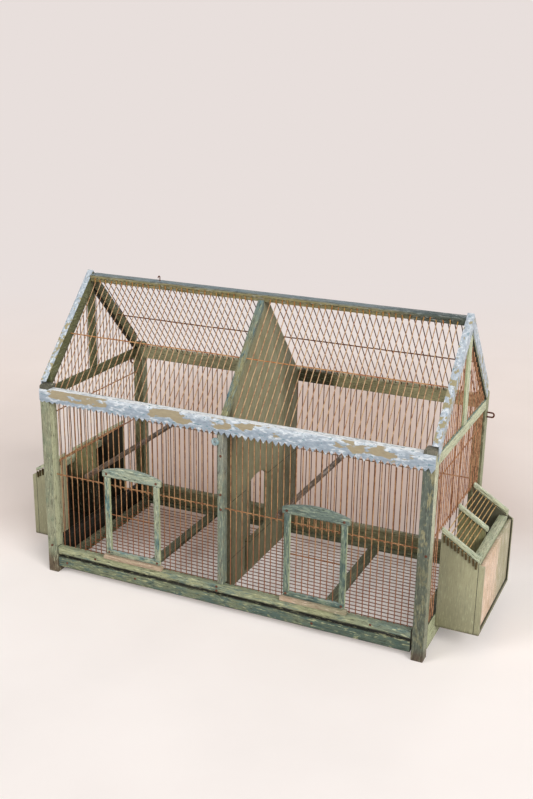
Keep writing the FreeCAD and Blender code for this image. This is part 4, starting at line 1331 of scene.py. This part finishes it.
@dataclass
class Strips:
    """Toothed tin strips on the eave, the ridge and the rafters."""

    tin: Timber
    half_length: float = 350.0
    tooth_root: float = 325.0
    tooth_least: float = 0.1
    nib_share: float = 0.35
    full_from: float = -110.0
    rake_foot: float = -139.0
    rake_reach: float = 13.0
    roof_slope: float = 1.0617

    def build(self) -> None:
        """Make the strips."""
        self.tin.weather("eave_trim", EAVE_PAINT, shape=self.cut_teeth)
        self.tin.weather("ridge_trim", RIDGE_PAINT)
        for side in ("left", "right"):
            self.tin.weather("rake_trims_" + side, RAKE_PAINT, shape=self.reach_eave)

    def cut_teeth(self, piece: Object) -> None:
        """Cut the eave's teeth to full depth from near the middle on, and leave nibs at its left end.

        Args:
            piece: The eave's strip.
        """
        full = (self.full_from + self.half_length) / (2 * self.half_length)
        for vertex in piece.data.vertices:
            drop = self.tooth_root * MM - vertex.co.z
            if drop > self.tooth_least * MM:
                place = (vertex.co.x / MM + self.half_length) / (2 * self.half_length)
                wanted, had = (self.nib_share + (1 - self.nib_share) * min(1.0, part)
                               for part in (place / full, place))
                vertex.co.z -= drop * (wanted / had - 1)

    def reach_eave(self, piece: Object) -> None:
        """Run the front rake strips down past the posts' heads to the eave's strip.

        Args:
            piece: The strips of one gable.
        """
        for vertex in piece.data.vertices:
            if vertex.co.y < self.rake_foot * MM:
                vertex.co.y -= self.rake_reach * MM
                vertex.co.z -= self.rake_reach * self.roof_slope * MM


@dataclass
class Partition:
    """The board between the rooms, its post and cap, the shutter and its guides."""

    timber: Timber

    def build(self) -> None:
        """Make the partition's wood."""
        self.timber.weather("partition_board", OLIVE_PAINT, Axis.HEIGHT)
        self.timber.weather("centre_post", CENTRE_PAINT)
        self.timber.weather("partition_cap", CAP_PAINT)
        self.timber.weather("shutter", OLIVE_PAINT, Axis.HEIGHT)
        self.timber.weather("shutter_guides", GUIDE_PAINT)


@dataclass
class WireWalls:
    """The wires of the walls and the roof, their bent ends, and the perches that lie on them."""

    stock: WireStock
    timber: Timber
    hook_rise: float = 8.0
    hook_least: float = 0.6
    hook_dia: float = 2.0
    hook_lean: float = 1.6
    knot_half: float = 2.0
    knot_dia: float = 1.4

    def build(self) -> None:
        """String the wires, bend their ends and lay the perches."""
        for node, finish, sway in (
            ("front_wires", FRONT_RUST, 0.3),
            ("main_wires", FRONT_RUST, 0.6),
            ("roof_wires_front", ROOF_RUST, 0.8),
            ("roof_cross_wires", CROSS_RUST, 0.8),
            ("rear_wires", REAR_SHADED_RUST, 0.6),
            ("roof_wires_rear", REAR_SHADED_RUST, 0.6),
            ("end_wires_left", LEFT_END_SHADED_RUST, 1.1),
            ("end_wires_right", END_RUST, 1.1),
            ("end_cross_wires", END_RUST, 0.6),
        ):
            self.stock.string(node, finish, sway)
        self.hook_ridge()
        self.tie_main_wire()
        self.timber.weather("perches", PERCH_WOOD)

    def hook_ridge(self) -> None:
        """Hook the heads of the front roof wires up over the ridge's toothed strip."""
        face = min(corner[1] for corner in frame["nodes"]["ridge_trim"].bound_box)
        draw = random.Random("hooks")
        runs = []
        for _, head, dia in self.stock.rods("roof_wires_front")[0]:
            lean = draw.uniform(-1, 1) * self.hook_lean * MM
            rise = draw.uniform(self.hook_least, 1) * self.hook_rise * MM
            foot = Vector((head.x, face - dia / 2, head.z - dia / 2))
            runs.append((foot, Vector((head.x + lean, foot.y, head.z + rise))))
        self.stock.tips(runs, self.hook_dia, "roof_wire_hooks", "roof_wires_front", HOOK_RUST)

    def tie_main_wire(self) -> None:
        """Tie the main wire to the front's uprights with a turn of thin wire."""
        level = self.stock.rods("main_wires")[0][0][0].z
        half = Vector((self.knot_half * MM, 0.0, self.knot_half / 2 * MM))
        runs = []
        for foot, _, dia in self.stock.rods("front_wires")[0]:
            knot = Vector((foot.x, foot.y - dia / 2, level))
            runs.append((knot - half, knot + half))
        self.stock.tips(runs, self.knot_dia, "main_wire_ties", "main_wires", FRONT_RUST)


@dataclass
class Doors:
    """The two sliding doors and their sills."""

    timber: Timber
    stock: WireStock
    sway: float = 0.3

    def build(self) -> None:
        """Make both doors."""
        for side, finish in (("left", DOOR_LEFT_PAINT), ("right", DOOR_RIGHT_PAINT)):
            for part in ("stiles", "top_rail", "bottom_rail"):
                self.timber.weather(f"door_{side}_{part}", finish)
            self.stock.string(f"door_{side}_wires", FRONT_RUST, self.sway)
        self.timber.weather("door_sills", SILL_WOOD)


@dataclass
class PullOutFloor:
    """The wire floor and its frame."""

    timber: Timber
    stock: WireStock
    sway: float = 0.7

    def build(self) -> None:
        """Make the floor."""
        self.timber.weather("floor_front_rail", FLOOR_RAIL_PAINT)
        self.timber.weather("floor_bars", FLOOR_PAINT)
        self.timber.weather("floor_runners", GUIDE_PAINT)
        self.stock.string("floor_wires", FLOOR_RUST, self.sway)


@dataclass
class Feeders:
    """The feeder boxes on both ends."""

    timber: Timber
    stock: WireStock
    # How dark painted shade, with some dirt, makes the inward faces, on the left and on the right.
    panel_shade_and_dirt: tuple[float, float] = (0.95, 0.78)
    divider_shade_and_dirt: tuple[float, float] = (0.0, 0.72)
    floor_shade_and_dirt: tuple[float, float] = (0.95, 0.75)
    board_soil: tuple[float, float] = (0.93, 0.5)
    sway: float = 0.9
    tip_drop: float = 12.5
    drop_least: float = 0.75
    tip_dia: float = 3.2
    tip_lean: float = 1.5
    lean_back: float = 0.4
    more_tips: int = 3

    def build(self) -> None:
        """Make both boxes."""
        self.timber.weather("feeder_side_panels", SAGE_PAINT, Axis.HEIGHT, self.panel_shade_and_dirt)
        self.timber.weather("feeder_dividers", DIVIDER_PAINT, Axis.HEIGHT, self.divider_shade_and_dirt)
        self.timber.weather("feeder_floors", SAGE_PAINT, soil=self.floor_shade_and_dirt)
        self.timber.weather("feeder_battens", BATTEN_PAINT)
        for side in ("left", "right"):
            self.timber.weather("feeder_board_" + side, WORN_BOARD, Axis.HEIGHT, self.board_soil)
        self.stock.string("feeder_wires", FEEDER_RUST, self.sway)
        self.bend_tips()

    def bend_tips(self) -> None:
        """Bend the ends of the top wires down over the side panels, with a few more driven in further out."""
        faces = [corner[1] for corner in frame["nodes"]["feeder_side_panels"].bound_box]
        wires = [(foot, dia) for foot, head, dia in self.stock.rods("feeder_wires")[0]
                 if abs(head.y - foot.y) > abs(head.x - foot.x)]
        draw = random.Random("tips")
        runs = []
        for side in (-1, 1):
            ends = sorted((foot for foot, _ in wires if foot.x * side > 0), key=lambda end: end.x * side)
            step = (ends[-1] - ends[0]) / (len(ends) - 1)
            ends += [ends[-1] + step * number for number in range(1, self.more_tips + 1)]
            for end in ends:
                for face in (min(faces) - wires[0][1] / 2, max(faces) + wires[0][1] / 2):
                    lean = draw.uniform(-self.lean_back, 1) * self.tip_lean * MM
                    drop = draw.uniform(self.drop_least, 1) * self.tip_drop * MM
                    runs.append((Vector((end.x, face, end.z)), Vector((end.x + lean, face, end.z - drop))))
        self.stock.tips(runs, self.tip_dia, "feeder_wire_tips", "feeder_wires", END_TIP_RUST)


@dataclass
class Fittings:
    """Hanging staples, the ridge's hook, the disc and the nails."""

    nail_radius: float = 2.4
    nail_height: float = 0.9
    nail_sides: int = 8
    nail_round: float = 1.2
    round_segments: int = 2

    # Nail heads on the front of each piece: places along the cage and heights.
    NAILED: ClassVar[dict[str, tuple[tuple[float, float], ...]]] = {
        "centre_post": ((-3.5, 281.9), (-3.5, 214.6), (-3.0, 188.6)),
        "front_rail": ((-9.8, 47.5), (-9.8, 40.0), (-250.0, 44.0), (262.0, 45.0)),
        "floor_front_rail": ((-168.8, 25.0), (162.8, 22.0), (-310.0, 23.0)),
        "door_right_bottom_rail": ((115.5, 65.5), (212.0, 65.0)),
        "door_right_top_rail": ((115.0, 211.5), (212.0, 211.0)),
        "door_left_bottom_rail": ((-220.0, 65.0), (-124.0, 64.5)),
        "door_left_top_rail": ((-220.5, 212.0), (-123.5, 211.5)),
        "post_front_right": ((344.0, 182.3), (338.0, 330.0)),
        "post_front_left": ((-341.0, 52.0),),
    }

    def build(self) -> None:
        """Make the fittings."""
        for node, finish in (("hanging_staples", DARK_IRON), ("ridge_hook", NAIL_RUST)):
            piece = copy_of(node, node + "_iron")
            smooth(piece, IRON_SMOOTH)
            settle(piece, node, finish)
        piece = copy_of("disc", "disc_painted")
        smooth(piece, WOOD_SMOOTH)
        stamp_grain(piece)
        settle(piece, "disc", DISC_PAINT)
        head = self.nail_head()
        for node, places in self.NAILED.items():
            self.drive(head, node, places)
        bpy.data.meshes.remove(head)

    def nail_head(self) -> Mesh:
        """Model a hammered nail head that looks along the front's outward direction.

        Returns:
            Its mesh.
        """
        bpy.ops.object.select_all(action="DESELECT")
        bpy.ops.mesh.primitive_cylinder_add(vertices=self.nail_sides, radius=self.nail_radius * MM,
                                            depth=2 * self.nail_height * MM, rotation=(math.pi / 2, 0, 0))
        piece = bpy.context.object
        bpy.ops.object.transform_apply(rotation=True)
        with editing(piece) as mesh:
            for edge in mesh.edges:
                edge.select_set(all(vertex.co.y < 0 for vertex in edge.verts))
            bmesh.update_edit_mesh(piece.data)
            bpy.ops.mesh.bevel(offset=self.nail_round * MM, segments=self.round_segments, affect="EDGES")
        smooth(piece, WIRE_SMOOTH)
        mesh = piece.data
        bpy.data.objects.remove(piece)
        return mesh

    def drive(self, head: Mesh, node: str, places: tuple[tuple[float, float], ...]) -> None:
        """Drive nails into the front of a CAD node.

        Args:
            head: The nail head's mesh.
            node: The CAD node that holds them.
            places: Where along the cage, and how high.
        """
        face = min(corner[1] for corner in frame["nodes"][node].bound_box)
        nails = []
        for x, z in places:
            nail = added("nail", head.copy())
            nail.data.transform(Matrix.Translation((x * MM, face, z * MM)))
            nails.append(nail)
        piece = joined(nails, node + "_nails")
        piece.data.materials.append(NAIL_RUST.material())
        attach(piece, BODY_OF[node])
        log.info("%s: %d heads", piece.name, len(places))


@dataclass
class Studio:
    """The camera at the photograph's angle, soft light from both sides and a pale canvas."""

    camera_place: tuple[float, float, float] = (721.77, -1575.78, 908.90)
    yaw: float = 24.477
    pitch: float = 18.424
    roll: float = 0.838
    lens: float = 48.015
    sensor: float = 36.0
    floor_reach: float = 30000.0
    floor_sides: int = 64
    sky: str = "#f7f4f2"
    sky_strength: float = 0.33
    haze: str = "#e8dfdc"
    # The direction that each lamp shines from, and its strength.
    lamps: tuple[tuple[tuple[float, float, float], float], ...] = (
        ((0.72, -0.48, 0.50), 2.4), ((-0.52, -0.68, 0.52), 1.3), ((0.1, 0.98, 0.14), 1.4))
    lamp_spread: float = 32.0

    def heading(self) -> Vector:
        """Give the camera's level heading over the floor."""
        return Vector((-math.sin(math.radians(self.yaw)), math.cos(math.radians(self.yaw)), 0.0))

    def place_camera(self) -> None:
        """Set the camera where the photograph was taken from."""
        yaw, pitch, roll = (math.radians(angle) for angle in (self.yaw, self.pitch, self.roll))
        forward = Vector((-math.sin(yaw) * math.cos(pitch), math.cos(yaw) * math.cos(pitch), -math.sin(pitch)))
        right = Vector((math.cos(yaw), math.sin(yaw), 0.0))
        up = right.cross(forward)
        across = right * math.cos(roll) + up * math.sin(roll)
        upward = up * math.cos(roll) - right * math.sin(roll)
        data = bpy.data.cameras.new("camera")
        data.lens = self.lens
        data.sensor_width = self.sensor
        camera = bpy.data.objects.new("camera", data)
        camera.matrix_world = Matrix.Translation(Vector(self.camera_place) * MM) @ Matrix(
            (across, upward, -forward)).transposed().to_4x4()
        bpy.context.scene.collection.objects.link(camera)
        bpy.context.scene.camera = camera

    def lay_floor(self) -> None:
        """Lay the canvas under the cage."""
        bpy.ops.object.select_all(action="DESELECT")
        bpy.ops.mesh.primitive_circle_add(vertices=self.floor_sides, radius=self.floor_reach * MM,
                                          fill_type="NGON")
        floor = bpy.context.object
        floor.name = "canvas_floor"
        floor.data.materials.append(StudioCanvas("primed_canvas", self.haze, self.heading()).material())

    def set_light(self) -> None:
        """Hang the lamps, two in front and a low one behind, and set the soft light all round."""
        for way, strength in self.lamps:
            data = bpy.data.lights.new("lamp", "SUN")
            data.energy = strength
            data.angle = math.radians(self.lamp_spread)
            lamp = bpy.data.objects.new("lamp", data)
            lamp.rotation_mode = "QUATERNION"
            lamp.rotation_quaternion = Vector(way).to_track_quat("Z", "Y")
            bpy.context.scene.collection.objects.link(lamp)
        world = bpy.data.worlds.new("studio")
        bpy.context.scene.world = world
        world.use_nodes = True
        tree = world.node_tree
        tree.nodes.clear()
        light = add_node(tree, "Background", {"Color": linear(self.sky), "Strength": self.sky_strength})
        back = add_node(tree, "Background", {"Color": linear(self.haze), "Strength": 1.0})
        mix = add_node(tree, "MixShader", links={0: shown_as_background(tree), 1: light, 2: back})
        add_node(tree, "OutputWorld", links={0: mix})

    def build(self) -> None:
        """Set up the studio."""
        self.place_camera()
        self.lay_floor()
        self.set_light()
        bpy.context.scene.view_settings.view_transform = "Standard"


def main() -> None:
    """Build the cage's pieces in order and report each one."""
    logging.basicConfig(level=logging.INFO, format="%(name)s %(message)s")
    Studio().build()
    timber, tin, stock = Timber(), Timber(bevel=0.4, warp=0.6, cut_every=30.0), WireStock()
    Frame(timber).build()
    Strips(tin).build()
    Partition(timber).build()
    WireWalls(stock, timber).build()
    Doors(timber, stock).build()
    PullOutFloor(timber, stock).build()
    Feeders(timber, stock).build()
    Fittings().build()


if __name__ == "__main__":
    main()
